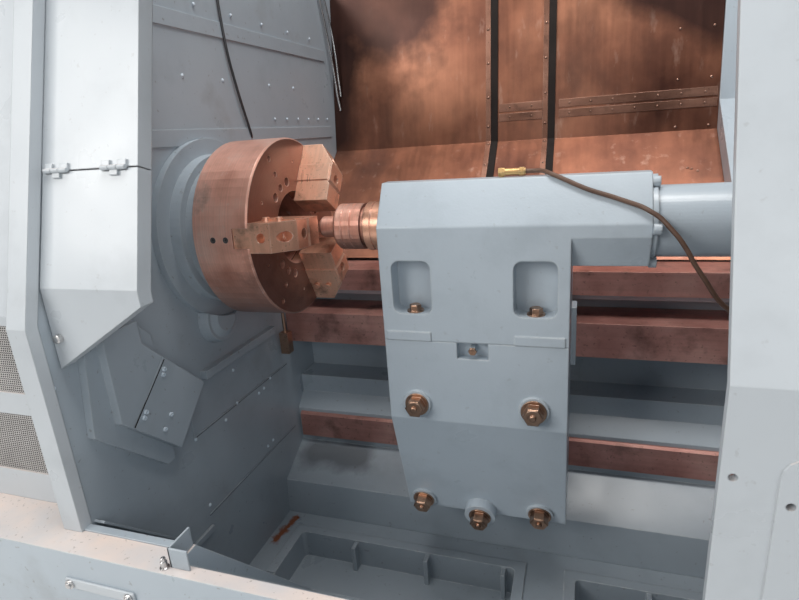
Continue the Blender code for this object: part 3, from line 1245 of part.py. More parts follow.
def tailstock():
    """Tailstock head over its base casting, with its clamp bolts, keys and pockets."""
    front = -TAIL_FRONT_REACH
    joint = -TAIL_JOINT_DROP
    back_slope = (TAIL_BACK_SHOULDER_REACH, -TAIL_BACK_SHOULDER_DROP)
    turn = math.atan2(TAIL_TOP_RISE - TAIL_EDGE_RISE, TAIL_FRONT_REACH - TAIL_TOP_REACH)
    round_centre = (front + TAIL_EDGE_ROUND,
                    TAIL_EDGE_RISE - TAIL_EDGE_ROUND * math.tan((math.pi / 2 - turn) / 2))
    front_edge = arc(round_centre, TAIL_EDGE_ROUND, math.pi, math.pi / 2 + turn, 4)
    crest = [(-TAIL_TOP_REACH, TAIL_TOP_RISE), (TAIL_TOP_REACH, TAIL_TOP_RISE), back_slope]
    outline = [(front, joint + GAP)] + front_edge + crest + [(TAIL_BACK_REACH,
                                                              -TAIL_BACK_REACH * TAIL_BACK_FALL_SHARE),
                                                            (TAIL_BACK_REACH, joint + GAP)]
    head = prism("x", outline, TAIL_LEFT, COLUMN_RIGHT)
    overhang = [(front, -OVERHANG_SKIRT_DROP)] + front_edge + crest
    overhang += [(TAIL_BACK_SHOULDER_REACH, -OVERHANG_BACK_DROP),
                 (-OVERHANG_CHIN_REACH, -OVERHANG_CHIN_DROP)]
    head = join(head, prism("x", overhang, COLUMN_RIGHT - OVERCUT, TAIL_RIGHT))
    head = join(head,
                drum(TAIL_LEFT - TAIL_BOSS_LENGTH, TAIL_LEFT + OVERCUT, TAIL_BOSS_RADIUS,
                     segments=BIG_SEGMENTS))
    bore_end = TAIL_RIGHT + OVERCUT
    head = cut(head, drum(TAIL_LEFT - TAIL_BOSS_LENGTH - OVERCUT, bore_end, QUILL_RADIUS + GAP))
    for left in TAIL_POCKET_LEFTS:
        low = -TAIL_POCKET_TOP_DROP - TAIL_POCKET_HEIGHT
        opening = rounded_rectangle((left, low), (left + TAIL_POCKET_WIDTH, -TAIL_POCKET_TOP_DROP),
                                    TAIL_POCKET_ROUND)
        head = cut(head, prism("y", opening, front - OVERCUT, front + TAIL_POCKET_DEPTH))
        spot = (left + TAIL_POCKET_WIDTH / 2, front + TAIL_POCKET_DEPTH / 2)
        head = join(head,
                    hexagon(low - GAP, low + TAIL_POCKET_BOLT_HEIGHT, TAIL_POCKET_BOLT_RADIUS, spot, "z"))
    for left in KEY_LEFTS:
        right = min(left + KEY_WIDTH, COLUMN_RIGHT)
        head = join(head,
                    box((left, right), (front - KEY_STAND, front + KEY_STAND),
                        (joint + GAP, joint + KEY_HEIGHT)))
    head = drill_fitting_seat(head)
    place("tailstock_head", head, PAINT)

    hook_z = LOW_WAY_BOTTOM_Z
    rest_z = -MID_WAY_TOP_DROP + GAP
    back_low, back_mid = LOW_WAY_REACH - GAP, MID_WAY_REACH - GAP
    shoe_top = rest_z + SHOE_THICKNESS
    base = [(front, joint), (front, -TAIL_BEND_DROP), (TAIL_FOOT_REACH, -TAIL_FOOT_DROP),
            (back_low, -TAIL_FOOT_DROP), (back_low,
                                          -LOW_WAY_TOP_DROP - LOW_WAY_BEVEL), (TAIL_RELIEF_REACH,
                                                                               -LOW_WAY_TOP_DROP),
            (TAIL_RELIEF_REACH, MID_SEAT_Z), (back_mid, MID_SEAT_Z + WIPER_THICKNESS), (back_mid, rest_z),
            (SHOE_REACH, rest_z), (SHOE_REACH, shoe_top), (TAIL_BACK_REACH, shoe_top),
            (TAIL_BACK_REACH, joint)]
    body = prism("x", base, TAIL_LEFT, COLUMN_RIGHT)
    body = cut(body, box((NOTCH_LEFT, NOTCH_LEFT + NOTCH_WIDTH), (front - OVERCUT, front + NOTCH_DEPTH),
                         (joint - NOTCH_HEIGHT, joint + OVERCUT)))
    screw_spot = (NOTCH_LEFT + NOTCH_WIDTH / 2, joint - NOTCH_HEIGHT / 2)
    body = join(body, hexagon(front, front + NOTCH_DEPTH + GAP, SET_SCREW_RADIUS, screw_spot, "y"))
    tilt = math.atan2(TAIL_FOOT_REACH + TAIL_FRONT_REACH, TAIL_FOOT_DROP - TAIL_BEND_DROP)
    for x, z in UPPER_CLAMP_PLACES:
        body = join(body,
                    clamp_bolt(x, front, z, 0.0, CLAMP_BOSS_RADIUS, CLAMP_BOSS_HEIGHT, CLAMP_BOLT_RADIUS))
    places = [(x, LOWER_CLAMP_INSET, CLAMP_BOSS_RADIUS, CLAMP_BOSS_HEIGHT) for x in LOWER_CLAMP_PLACES]
    places.append((CENTRE_CLAMP_PLACE, CENTRE_CLAMP_INSET, CENTRE_CLAMP_RADIUS, CENTRE_CLAMP_HEIGHT))
    for x, inset, radius, height in places:
        z = -TAIL_FOOT_DROP + inset
        y = TAIL_FOOT_REACH - inset * math.tan(tilt)
        body = join(body, clamp_bolt(x, y, z, tilt, radius, height, CLAMP_BOLT_RADIUS))
    for x in (TAIL_LEFT - WIPER_THICKNESS, COLUMN_RIGHT - OVERCUT):
        wiper = box((x, x + WIPER_THICKNESS + OVERCUT), (back_mid - WIPER_DEPTH, back_mid),
                    (MID_SEAT_Z, -WIPER_TOP_DROP))
        body = join(body, wiper)
    place("tailstock_base", body, PAINT)


def drill_fitting_seat(head):
    """Hole in the head's top for the hose fitting's foot."""
    spot = (FITTING_LEFT + FITTING_NUT_LENGTH / 2, FITTING_REACH)
    return cut(head,
               drum(TAIL_TOP_RISE - OVERCUT, TAIL_TOP_RISE + OVERCUT, FITTING_FOOT_RADIUS + GAP, spot,
                          TINY_SEGMENTS, "z"))


def quill_and_centre():
    left = TAIL_LEFT - TAIL_BOSS_LENGTH - QUILL_STAND
    profile = [(left, CENTRE_SHANK_RADIUS + GAP), (left, QUILL_RADIUS),
               (left + QUILL_LENGTH, QUILL_RADIUS),
               (left + QUILL_LENGTH, CENTRE_SHANK_RADIUS + GAP)]
    place("tailstock_quill", turned(profile, segments=BIG_SEGMENTS, closed=True), BRIGHT_STEEL,
          pivot=(left, 0.0, 0.0), smooth=True)
    right = left - GAP
    start = right - CENTRE_BODY_LENGTH
    grooves = []
    for share in GROOVE_SHARES:
        at = start + CENTRE_BODY_LENGTH * share
        grooves += [(at, CENTRE_BODY_RADIUS), (at + CENTRE_GROOVE, CENTRE_BODY_RADIUS - CENTRE_GROOVE),
                    (at + 2 * CENTRE_GROOVE, CENTRE_BODY_RADIUS)]
    tip = start - CENTRE_NOSE_LENGTH
    profile = [(tip, 0.0), (tip, CENTRE_TIP_RADIUS), (tip + CENTRE_TIP_LENGTH, CENTRE_NOSE_RADIUS),
               (start, CENTRE_NOSE_RADIUS), (start, CENTRE_BODY_RADIUS - 3 * CENTRE_GROOVE),
               (start + 3 * CENTRE_GROOVE, CENTRE_BODY_RADIUS)]
    profile += grooves + [(right, CENTRE_BODY_RADIUS), (right, CENTRE_SHANK_RADIUS),
                          (right + CENTRE_SHANK_LENGTH, CENTRE_SHANK_RADIUS * SHANK_END_SHARE),
                          (right + CENTRE_SHANK_LENGTH, 0.0)]
    place("live_centre", turned(profile), WARM_STEEL, pivot=(start, 0.0, 0.0), smooth=True)


def tailstock_cylinder():
    """Quill cylinder behind the head, with its flange bolts and end cap."""
    left = TAIL_RIGHT + GAP
    profile = [(left, 0.0), (left, CYLINDER_FLANGE_RADIUS),
               (left + CYLINDER_FLANGE_LENGTH, CYLINDER_FLANGE_RADIUS),
               (left + CYLINDER_FLANGE_LENGTH, CYLINDER_RADIUS), (CYLINDER_END, CYLINDER_RADIUS),
               (CYLINDER_END, CYLINDER_CAP_RADIUS), (CYLINDER_END + CYLINDER_CAP_LENGTH,
                                                     CYLINDER_CAP_RADIUS),
               (CYLINDER_END + CYLINDER_CAP_LENGTH, 0.0)]
    body = turned(profile, segments=BIG_SEGMENTS)
    for angle in CYLINDER_BOLT_ANGLES:
        spot = (CYLINDER_BOLT_CIRCLE * math.cos(angle), CYLINDER_BOLT_CIRCLE * math.sin(angle))
        body = join(body,
                    drum(left, left + CYLINDER_BOLT_LENGTH, CYLINDER_BOLT_RADIUS, spot, TINY_SEGMENTS))
    spigot_left = TAIL_RIGHT - CYLINDER_SPIGOT_LENGTH
    body = join(body, drum(spigot_left, left + CYLINDER_FLANGE_LENGTH, CYLINDER_SPIGOT_RADIUS))
    port = drum(CYLINDER_PORT_Z, 0.0, FITTING_NUT_RADIUS, (CYLINDER_PORT_X, 0.0), TINY_SEGMENTS, "z")
    place("tailstock_cylinder", join(body, port), PAINT, smooth=True)


CYLINDER_PORT_X = CYLINDER_END - 3 * FITTING_NUT_LENGTH
CYLINDER_PORT_Z = -CYLINDER_RADIUS - FITTING_NUT_LENGTH
FITTING_AXIS_Z = TAIL_TOP_RISE + GAP + FITTING_NUT_RADIUS


def hose_fitting():
    """Brass elbow on the tailstock head that the hose leaves from."""
    y = FITTING_REACH
    x = FITTING_LEFT
    body = hexagon(x, x + FITTING_NUT_LENGTH, FITTING_NUT_RADIUS, (y, FITTING_AXIS_Z), "x")
    tube = drum(x + FITTING_NUT_LENGTH / 2, x + FITTING_LENGTH, FITTING_RADIUS, (y, FITTING_AXIS_Z),
                SMALL_SEGMENTS)
    nut = hexagon(x + FITTING_LENGTH - FITTING_NUT_LENGTH, x + FITTING_LENGTH - FITTING_NUT_LENGTH / 4,
                  FITTING_NUT_RADIUS, (y, FITTING_AXIS_Z), "x")
    foot = drum(TAIL_TOP_RISE - FITTING_NUT_LENGTH / 2, FITTING_AXIS_Z, FITTING_FOOT_RADIUS,
                (x + FITTING_NUT_LENGTH / 2, y), TINY_SEGMENTS, "z")
    place("hose_fitting", join(body, tube, nut, foot), BRASS, smooth=True)


# The hose's route, from the fitting over the head and down behind the door to the cylinder's port
HOSE_ROUTE = [
    (0.6603, 0.010, 0.1303), (0.6715, 0.010, 0.1303), (0.683, 0.010, 0.1303), (0.701, -0.0005, 0.1303),
    (0.7209, -0.0265, 0.1250), (0.7444, -0.0350, 0.1152),
    (0.7792, -0.0453, 0.0992), (0.8131, -0.0546, 0.0850), (0.8570, -0.0639, 0.0708), (0.8892, -0.0715,
                                                                                      0.0594),
    (0.9207, -0.0805, 0.0482), (0.9413, -0.0905, 0.0374), (0.9615, -0.0985, 0.0240), (0.9805, -0.1095,
                                                                                      0.0040),
    (1.0010, -0.1190, -0.0205), (1.0180, -0.1215, -0.0470), (1.0350, -0.1220, -0.0780), (1.0570, -0.1210,
                                                                                         -0.1115),
    (1.0855, -0.1160, -0.1555), (1.113, -0.106, -0.184), (1.143, -0.094, -0.212), (1.178, -0.078, -0.235),
    (1.218, -0.058, -0.246), (1.258, -0.038, -0.240), (1.294, -0.021, -0.220), (1.322, -0.009, -0.190),
    (1.341, -0.003, -0.155), (1.350, 0.0, -0.125), (1.352, 0.0, -0.1013),
]


def smooth_route(points, count):
    """Even points along a Catmull-Rom curve through the route."""
    nodes = [Vector(p) for p in points]
    nodes = [2 * nodes[0] - nodes[1]] + nodes + [2 * nodes[-1] - nodes[-2]]
    spans = len(nodes) - 3
    result = []
    for i in range(count):
        t = i / (count - 1) * spans
        k = min(int(t), spans - 1)
        t -= k
        a, b, c, d = nodes[k:k + 4]
        result.append(0.5 * ((2 * b) + (c - a) * t + (2 * a - 5 * b + 4 * c - d) * t * t
                             + (3 * b - a - 3 * c + d) * t ** 3))
    return result


def hose():
    curve = bpy.data.curves.new("tailstock_hose", "CURVE")
    curve.dimensions = "3D"
    curve.bevel_depth = HOSE_RADIUS
    curve.bevel_resolution = HOSE_BEVEL_RESOLUTION
    curve.use_fill_caps = True
    points = smooth_route(HOSE_ROUTE, HOSE_POINTS)
    spline = curve.splines.new("POLY")
    spline.points.add(len(points) - 1)
    for target, point in zip(spline.points, points):
        target.co = (*point, 1.0)
    curve.materials.append(HOSE_RUBBER)
    thing = bpy.data.objects.new("tailstock_hose", curve)
    thing.location = DATUM
    bpy.context.scene.collection.objects.link(thing)


def slope_box(x_range, along, off):
    outline = [slope_point(along[0], off[0]), slope_point(along[1], off[0]),
               slope_point(along[1], off[1]),
               slope_point(along[0], off[1])]
    return prism("x", outline, *x_range)


def carriage():
    """Saddle on the slanted ways with its guard, the cross slide and the turret."""
    x_range = (CARRIAGE_LEFT, CARRIAGE_RIGHT)
    seat = REAR_WAY_HEIGHT - BED_SLOPE_DEPTH + GAP
    top = seat + SADDLE_THICKNESS
    saddle = slope_box(x_range, (0.0, SADDLE_LENGTH), (seat, top))
    rest_z = -TOP_WAY_TOP_DROP + GAP
    heel = slope_point(SADDLE_FOOT_REACH / 4, seat)
    foot = [(SADDLE_FOOT_REACH, rest_z), (TOP_BACK, rest_z), heel, slope_point(0.0, top),
            (SADDLE_FOOT_REACH, rest_z + SADDLE_THICKNESS / 2)]
    saddle = join(saddle, prism("x", foot, *x_range))
    line = cover_line(0.0)
    guard = [tuple(line[1]), tuple(line[2]), (line[2].x + SADDLE_GUARD_DEPTH, line[2].y),
             (line[1].x + SADDLE_GUARD_DEPTH, line[1].y)]
    place("carriage_saddle", join(saddle, prism("x", guard, *x_range)), PAINT)

    slide_bottom = top + GAP
    slide_top = slide_bottom + CROSS_THICKNESS
    slide = slope_box((CROSS_LEFT, CROSS_RIGHT), (CROSS_START, CROSS_START + CROSS_LENGTH),
                      (slide_bottom, slide_top))
    face = TURRET_LEFT + TURRET_THICKNESS + GAP
    housing = slope_box((face, HOUSING_RIGHT),
                        (TURRET_PLACE - HOUSING_WIDTH / 2, TURRET_PLACE + HOUSING_WIDTH / 2),
                        (slide_top - OVERCUT, HOUSING_TOP))
    place("cross_slide", join(slide, housing), PAINT,
          pivot=(CROSS_LEFT, *slope_point(CROSS_START, slide_bottom)))

    centre = slope_point(TURRET_PLACE, AXIS_OFF_SLOPE)
    disc = drum(TURRET_LEFT, TURRET_LEFT + TURRET_THICKNESS, TURRET_RADIUS, (0.0, 0.0), TURRET_STATIONS)
    cap = drum(TURRET_LEFT - TURRET_CAP_LENGTH, TURRET_LEFT + OVERCUT, TURRET_CAP_RADIUS, (0.0, 0.0),
               MEDIUM_SEGMENTS)
    disc = join(disc, cap)
    flat = TURRET_RADIUS * math.cos(math.pi / TURRET_STATIONS)
    middle = TURRET_LEFT + TURRET_THICKNESS / 2
    for i in range(HOLDER_COUNT):
        angle = 2 * i * math.pi / HOLDER_COUNT + math.pi / TURRET_STATIONS
        holder = box((middle - HOLDER_LENGTH, middle + HOLDER_LENGTH / 2),
                     (flat - OVERCUT, flat + HOLDER_HEIGHT),
                     (-HOLDER_WIDTH / 2, HOLDER_WIDTH / 2))
        tool = box((middle - HOLDER_LENGTH / 2 - TOOL_SECTION, middle - HOLDER_LENGTH / 2),
                   (flat + OVERCUT, flat + HOLDER_HEIGHT + TOOL_LENGTH),
                   (-TOOL_SECTION / 2, TOOL_SECTION / 2))
        disc = join(disc, about_spindle(join(holder, tool), angle))
    disc = moved(disc, Matrix.Translation((0.0, *centre)))
    place("turret_disc", disc, BRIGHT_STEEL, pivot=(TURRET_LEFT, *centre))


def sliding_door():
    """Front door, shown pushed to the right, with its window, raised plate and handle."""
    front = DOOR_FRONT_REACH
    right = DOOR_LEFT + DOOR_WIDTH
    door = prism("x", bent_panel(front, DOOR_THICKNESS, DECK_Z + GAP, PANEL_TOP_Z), DOOR_LEFT, right)
    thinner_edge = bent_panel(front - DOOR_SKIN, DOOR_THICKNESS, DECK_Z - OVERCUT, PANEL_TOP_Z + OVERCUT)
    door = cut(door, prism("x", thinner_edge, DOOR_LEFT - OVERCUT, DOOR_LEFT + DOOR_RETURN_SETBACK))
    plate_low = -EMBOSS_TOP_DROP - EMBOSS_HEIGHT
    plate = prism("y",
                  rounded_rectangle((EMBOSS_LEFT, plate_low),
                                    (EMBOSS_LEFT + EMBOSS_WIDTH, -EMBOSS_TOP_DROP),
                                         EMBOSS_ROUND), -front - EMBOSS_STAND, -front + EMBOSS_STAND)
    door = join(door, plate)
    window = (WINDOW_LEFT, WINDOW_LEFT + WINDOW_WIDTH)
    z_range = (BEND_Z + WINDOW_START, BEND_Z + WINDOW_START + WINDOW_HEIGHT)
    opening = leaned(box(window, (-front - OVERCUT, -front + DOOR_THICKNESS + OVERCUT), z_range), front)
    rebate = leaned(box((window[0] - REBATE, window[1] + REBATE),
                        (-front + GLASS_THICKNESS, -front + 2 * GLASS_THICKNESS + GAP),
                        (z_range[0] - REBATE, z_range[1] + REBATE)), front)
    holes = [drum(-front - OVERCUT, -front + DOOR_THICKNESS / 2, DOOR_HOLE_RADIUS, spot, TINY_SEGMENTS,
                  "y")
             for spot in DOOR_HOLE_PLACES]
    door = cut(door, opening, rebate, *holes)
    place("sliding_door", door, PAINT)
    glass = box((window[0] - REBATE + GAP, window[1] + REBATE - GAP),
                (-front + GLASS_THICKNESS + GAP, -front + 2 * GLASS_THICKNESS),
                (z_range[0] - REBATE + GAP, z_range[1] + REBATE - GAP))
    place("door_window", leaned(glass, front), SAFETY_GLASS)

    low, high = HANDLE_RISE, HANDLE_RISE + HANDLE_LENGTH
    y = -front - HANDLE_STAND
    bar = drum(low, high, HANDLE_RADIUS, (HANDLE_LEFT, y), SMALL_SEGMENTS, "z")
    for z in (low + HANDLE_RADIUS, high - HANDLE_RADIUS):
        post = drum(y, -front - GAP, HANDLE_RADIUS, (HANDLE_LEFT, z), SMALL_SEGMENTS, "y")
        bar = join(bar, post)
    place("door_handle", leaned(bar, front), BRIGHT_STEEL, smooth=True)


def pendant_axis_x():
    return PENDANT_RIGHT + PENDANT_EAR / 2 - PENDANT_EAR


def pendant():
    """Operator panel on a vertical hinge pin, with its switches and handwheel."""
    face = -FRONT_REACH + STOP_STAND + STOP_HEIGHT
    left = PENDANT_RIGHT - PENDANT_WIDTH
    low, high = PENDANT_BASE_RISE, PENDANT_BASE_RISE + PENDANT_HEIGHT
    axis_x = pendant_axis_x()
    body = box((left, PENDANT_RIGHT), (face, face + PENDANT_DEPTH), (low, high))
    hole = drum(low - OVERCUT, high + OVERCUT, PENDANT_PIN_RADIUS + GAP, (axis_x, -PENDANT_AXIS_REACH),
                SMALL_SEGMENTS, "z")
    screen = box((left + SCREEN_INSET, PENDANT_RIGHT - SCREEN_INSET - PENDANT_EAR),
                 (face - OVERCUT, face + SCREEN_DEPTH),
                 (high - SCREEN_INSET - SCREEN_HEIGHT, high - SCREEN_INSET))
    stop_x, start_x = left + SWITCH_SIDE_INSET, left + 2 * SWITCH_SIDE_INSET
    dial_x = left + DIAL_INSET_SHARE * SWITCH_SIDE_INSET
    wheel_x = left + WHEEL_INSET_SHARE * SWITCH_SIDE_INSET
    row, wheel_row = low + SWITCH_ROW_RISE, low + WHEEL_ROW_RISE
    deep = face + SWITCH_HOLE_DEPTH
    stems = [((stop_x, row), STOP_STEM_RADIUS), ((start_x, row), START_RADIUS),
             ((dial_x, row), STOP_STEM_RADIUS),
             ((wheel_x, wheel_row), STOP_STEM_RADIUS)]
    holes = [drum(face - OVERCUT, deep, radius + GAP, spot, SMALL_SEGMENTS, "y")
             for spot, radius in stems]
    place("control_pendant", cut(body, hole, screen, *holes), PAINT,
          pivot=(axis_x, -PENDANT_AXIS_REACH, low))

    stem_end = deep - STOP_TRAVEL - GAP
    stop_front = face - STOP_STAND - STOP_HEIGHT
    stop = turned([(stop_front, 0.0), (stop_front, STOP_RADIUS * STOP_TOP_SHARE),
                   (stop_front + STOP_HEIGHT / 2, STOP_RADIUS),
                   (face - STOP_STAND, STOP_RADIUS), (face - STOP_STAND, STOP_STEM_RADIUS),
                   (stem_end, STOP_STEM_RADIUS), (stem_end, 0.0)], (stop_x, row), SMALL_SEGMENTS, "y")
    place("emergency_stop", stop, RED_PLASTIC, pivot=(stop_x, face, row), smooth=True)
    start = drum(face - START_STAND, deep - START_TRAVEL - GAP, START_RADIUS, (start_x, row),
                 SMALL_SEGMENTS, "y")
    place("cycle_start_button", start, GREEN_PLASTIC, pivot=(start_x, face, row), smooth=True)
    dial = turned([(face - DIAL_HEIGHT, 0.0), (face - DIAL_HEIGHT, DIAL_RADIUS * DIAL_TOP_SHARE),
                   (face - GAP, DIAL_RADIUS),
                   (face - GAP, STOP_STEM_RADIUS), (stem_end, STOP_STEM_RADIUS), (stem_end, 0.0)],
                  (dial_x, row), SMALL_SEGMENTS, "y")
    place("feed_override_dial", dial, BLACK_PLASTIC, pivot=(dial_x, face, row), smooth=True)
    wheel = turned([(face - WHEEL_HEIGHT, 0.0), (face - WHEEL_HEIGHT, WHEEL_RADIUS),
                    (face - GAP, WHEEL_RADIUS),
                    (face - GAP, STOP_STEM_RADIUS), (stem_end, STOP_STEM_RADIUS), (stem_end, 0.0)],
                   (wheel_x, wheel_row), SMALL_SEGMENTS, "y")
    grip_spot = (wheel_x + WHEEL_RADIUS - 2 * WHEEL_GRIP_RADIUS, wheel_row)
    grip = drum(face - WHEEL_HEIGHT - WHEEL_GRIP_LENGTH, face - WHEEL_HEIGHT + GAP, WHEEL_GRIP_RADIUS,
                grip_spot,
                TINY_SEGMENTS, "y")
    place("hand_wheel", join(wheel, grip), BLACK_PLASTIC, pivot=(wheel_x, face, wheel_row), smooth=True)


def services():
    """Electrical cabinet with its door, coolant tank and pump behind the machine."""
    left = -CABINET_LEFT_REACH
    right = left + CABINET_WIDTH
    near, far = BASE_BACK_REACH + REAR_SHEET + GAP, BACK_REACH - CABINET_DOOR_THICKNESS
    low = FLOOR_Z + PLINTH_HEIGHT
    body = box((left, right), (near, far), (low, CABINET_TOP_RISE))
    plinth = box((left + CABINET_DOOR_MARGIN, right - CABINET_DOOR_MARGIN),
                 (near, far - CABINET_DOOR_MARGIN),
                 (FLOOR_Z, low + GAP))
    margin = CABINET_DOOR_MARGIN
    inside = box((left + 2 * margin, right - 2 * margin), (near + margin, far + OVERCUT),
                 (low + 2 * margin, CABINET_TOP_RISE - 2 * margin))
    place("electrical_cabinet", cut(join(body, plinth), inside), PAINT)
    door = box((left + margin, right - margin), (far + GAP, far + CABINET_DOOR_THICKNESS),
               (low + margin, CABINET_TOP_RISE - margin))
    place("cabinet_door", door, PAINT, pivot=(left + margin, far + CABINET_DOOR_THICKNESS, low + margin))

    near = BASE_BACK_REACH + REAR_SHEET + GAP
    tank_top = FLOOR_Z + TANK_HEIGHT
    tank = box((TANK_LEFT, TANK_LEFT + TANK_LENGTH), (near, near + TANK_DEPTH), (FLOOR_Z, tank_top))
    hollow = box((TANK_LEFT + TANK_WALL, TANK_LEFT + TANK_LENGTH - TANK_WALL),
                 (near + TANK_WALL, near + TANK_DEPTH - TANK_WALL),
                 (FLOOR_Z + TANK_WALL, tank_top - TANK_WALL))
    hatch = box((TANK_LEFT + TANK_HATCH_MARGIN, TANK_LEFT + TANK_LENGTH * TANK_HATCH_SHARE),
                (near + TANK_HATCH_MARGIN, near + TANK_DEPTH - TANK_HATCH_MARGIN),
                (tank_top - 2 * TANK_WALL, tank_top + OVERCUT))
    pump_spot = (TANK_LEFT + TANK_LENGTH - PUMP_INSET, near + TANK_DEPTH / 2)
    pump_hole = drum(tank_top - 2 * TANK_WALL, tank_top + OVERCUT, PUMP_STEM_RADIUS + GAP, pump_spot,
                     SMALL_SEGMENTS, "z")
    place("coolant_tank", cut(tank, hollow, hatch, pump_hole), PAINT)
    profile = [(FLOOR_Z + 4 * TANK_WALL, 0.0), (FLOOR_Z + 4 * TANK_WALL, PUMP_STEM_RADIUS),
               (tank_top + GAP, PUMP_STEM_RADIUS), (tank_top + GAP, PUMP_RADIUS),
               (tank_top + PUMP_HEIGHT, PUMP_RADIUS), (tank_top + PUMP_HEIGHT, 0.0)]
    place("coolant_pump", turned(profile, pump_spot, SMALL_SEGMENTS, "z"), DARK_STEEL, smooth=True)


def main():
    machine_base()
    bed_and_ways()
    headstock()
    spindle_drive()
    chuck()
    for i in range(JAW_COUNT):
        chuck_jaw(i)
    flange_ring()
    guard_wall()
    wall_fittings()
    enclosure_front()
    end_covers()
    chuck_guard()
    covers()
    tailstock()
    quill_and_centre()
    tailstock_cylinder()
    hose_fitting()
    hose()
    carriage()
    sliding_door()
    pendant()
    services()


main()
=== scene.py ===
"""Looks for the CNC turning lathe: camera, hose, light, materials and the small fitted details.

Sizes are in metres. Places of details are given from the datum, the centre of the chuck's front face
on the spindle axis, as in the model's own source: +X to the tailstock, +Y into the machine, +Z up.
"""
import math

import bmesh
import bpy
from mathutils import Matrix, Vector


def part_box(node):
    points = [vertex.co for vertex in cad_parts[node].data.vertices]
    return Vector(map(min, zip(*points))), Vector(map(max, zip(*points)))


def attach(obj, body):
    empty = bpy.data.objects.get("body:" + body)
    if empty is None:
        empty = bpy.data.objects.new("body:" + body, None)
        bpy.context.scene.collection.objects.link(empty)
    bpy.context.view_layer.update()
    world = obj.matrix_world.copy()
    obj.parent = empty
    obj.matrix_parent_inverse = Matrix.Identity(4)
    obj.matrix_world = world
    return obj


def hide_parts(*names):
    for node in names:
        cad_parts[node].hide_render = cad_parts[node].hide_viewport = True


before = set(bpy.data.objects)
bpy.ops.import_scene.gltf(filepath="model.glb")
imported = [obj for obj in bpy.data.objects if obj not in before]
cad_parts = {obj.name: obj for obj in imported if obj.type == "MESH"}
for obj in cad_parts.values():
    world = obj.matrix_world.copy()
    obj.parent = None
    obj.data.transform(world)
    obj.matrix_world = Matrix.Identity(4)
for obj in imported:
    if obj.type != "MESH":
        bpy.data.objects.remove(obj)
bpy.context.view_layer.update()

DATUM = Vector((-0.35, -0.35, 1.38))
SCENE = bpy.context.scene

# Camera
CAMERA_PLACE = (0.44448, -1.77523, 1.61934)
CAMERA_ANGLES = (73.1591, 3.9343, 17.7902)
CAMERA_LENS = 24.6233
SENSOR_WIDTH = 36.0

# Planes that details sit on, from the datum
WALL_X = -0.283
DECK_DROP = 0.587
LIP_REACH = 0.726
SLOPE_ANGLE = math.radians(42.2)
SLOPE_FOOT = (0.53, -0.214)
SLOPE_LENGTH = 0.592
TAIL_FRONT_REACH = 0.096
TAIL_LEFT = 0.287
TAIL_BOSS_RADIUS = 0.062


def camera():
    data = bpy.data.cameras.new("camera")
    data.lens = CAMERA_LENS
    data.sensor_width = SENSOR_WIDTH
    data.sensor_fit = "HORIZONTAL"
    thing = bpy.data.objects.new("camera", data)
    SCENE.collection.objects.link(thing)
    thing.location = CAMERA_PLACE
    thing.rotation_euler = [math.radians(a) for a in CAMERA_ANGLES]
    SCENE.camera = thing


# Hose
HOSE_RADIUS = 0.0055
HOSE_POINTS = 140
HOSE_ROUTE = (
    (0.6603, 0.010, 0.1303), (0.6715, 0.010, 0.1303), (0.683, 0.010, 0.1303),
    (0.701, -0.0005, 0.1303), (0.7209, -0.0265, 0.1250), (0.7444, -0.0350, 0.1152),
    (0.7792, -0.0453, 0.0992), (0.8131, -0.0546, 0.0850), (0.8570, -0.0639, 0.0708),
    (0.8892, -0.0715, 0.0594), (0.9207, -0.0805, 0.0482), (0.9413, -0.0905, 0.0374),
    (0.9615, -0.0985, 0.0240), (0.9805, -0.1095, 0.0040), (1.0010, -0.1190, -0.0205),
    (1.0180, -0.1215, -0.0470), (1.0350, -0.1220, -0.0780), (1.0570, -0.1210, -0.1115),
    (1.0855, -0.1160, -0.1555), (1.113, -0.106, -0.184), (1.143, -0.094, -0.212),
    (1.178, -0.078, -0.235), (1.218, -0.058, -0.246), (1.258, -0.038, -0.240),
    (1.294, -0.021, -0.220), (1.322, -0.009, -0.190), (1.341, -0.003, -0.155),
    (1.350, 0.0, -0.125), (1.352, 0.0, -0.1013),
)


def smooth_route(points, count):
    """Even points along a Catmull-Rom curve through the route."""
    nodes = [Vector(p) for p in points]
    nodes = [2 * nodes[0] - nodes[1]] + nodes + [2 * nodes[-1] - nodes[-2]]
    spans = len(nodes) - 3
    result = []
    for i in range(count):
        t = i / (count - 1) * spans
        k = min(int(t), spans - 1)
        t -= k
        a, b, c, d = nodes[k:k + 4]
        result.append(0.5 * ((2 * b) + (c - a) * t + (2 * a - 5 * b + 4 * c - d) * t * t
                             + (3 * b - a - 3 * c + d) * t ** 3))
    return result


TUBE_RESOLUTION = 5


def tube(name, points, radius, material, body):
    """A round tube along points given from the datum."""
    curve = bpy.data.curves.new(name, "CURVE")
    curve.dimensions = "3D"
    curve.bevel_depth = radius
    curve.bevel_resolution = TUBE_RESOLUTION
    curve.use_fill_caps = True
    spline = curve.splines.new("POLY")
    spline.points.add(len(points) - 1)
    for target, point in zip(spline.points, points):
        target.co = (*(Vector(point) + DATUM), 1.0)
    spline.use_smooth = True
    curve.materials.append(material)
    thing = bpy.data.objects.new(name, curve)
    SCENE.collection.objects.link(thing)
    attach(thing, body)
    return thing


def hose(material):
    points = smooth_route(HOSE_ROUTE, HOSE_POINTS)
    thing = tube("lubrication_hose", points, HOSE_RADIUS, material, "tailstock")
    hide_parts("tailstock_hose")


# Materials
BEVEL_SAMPLES = 4


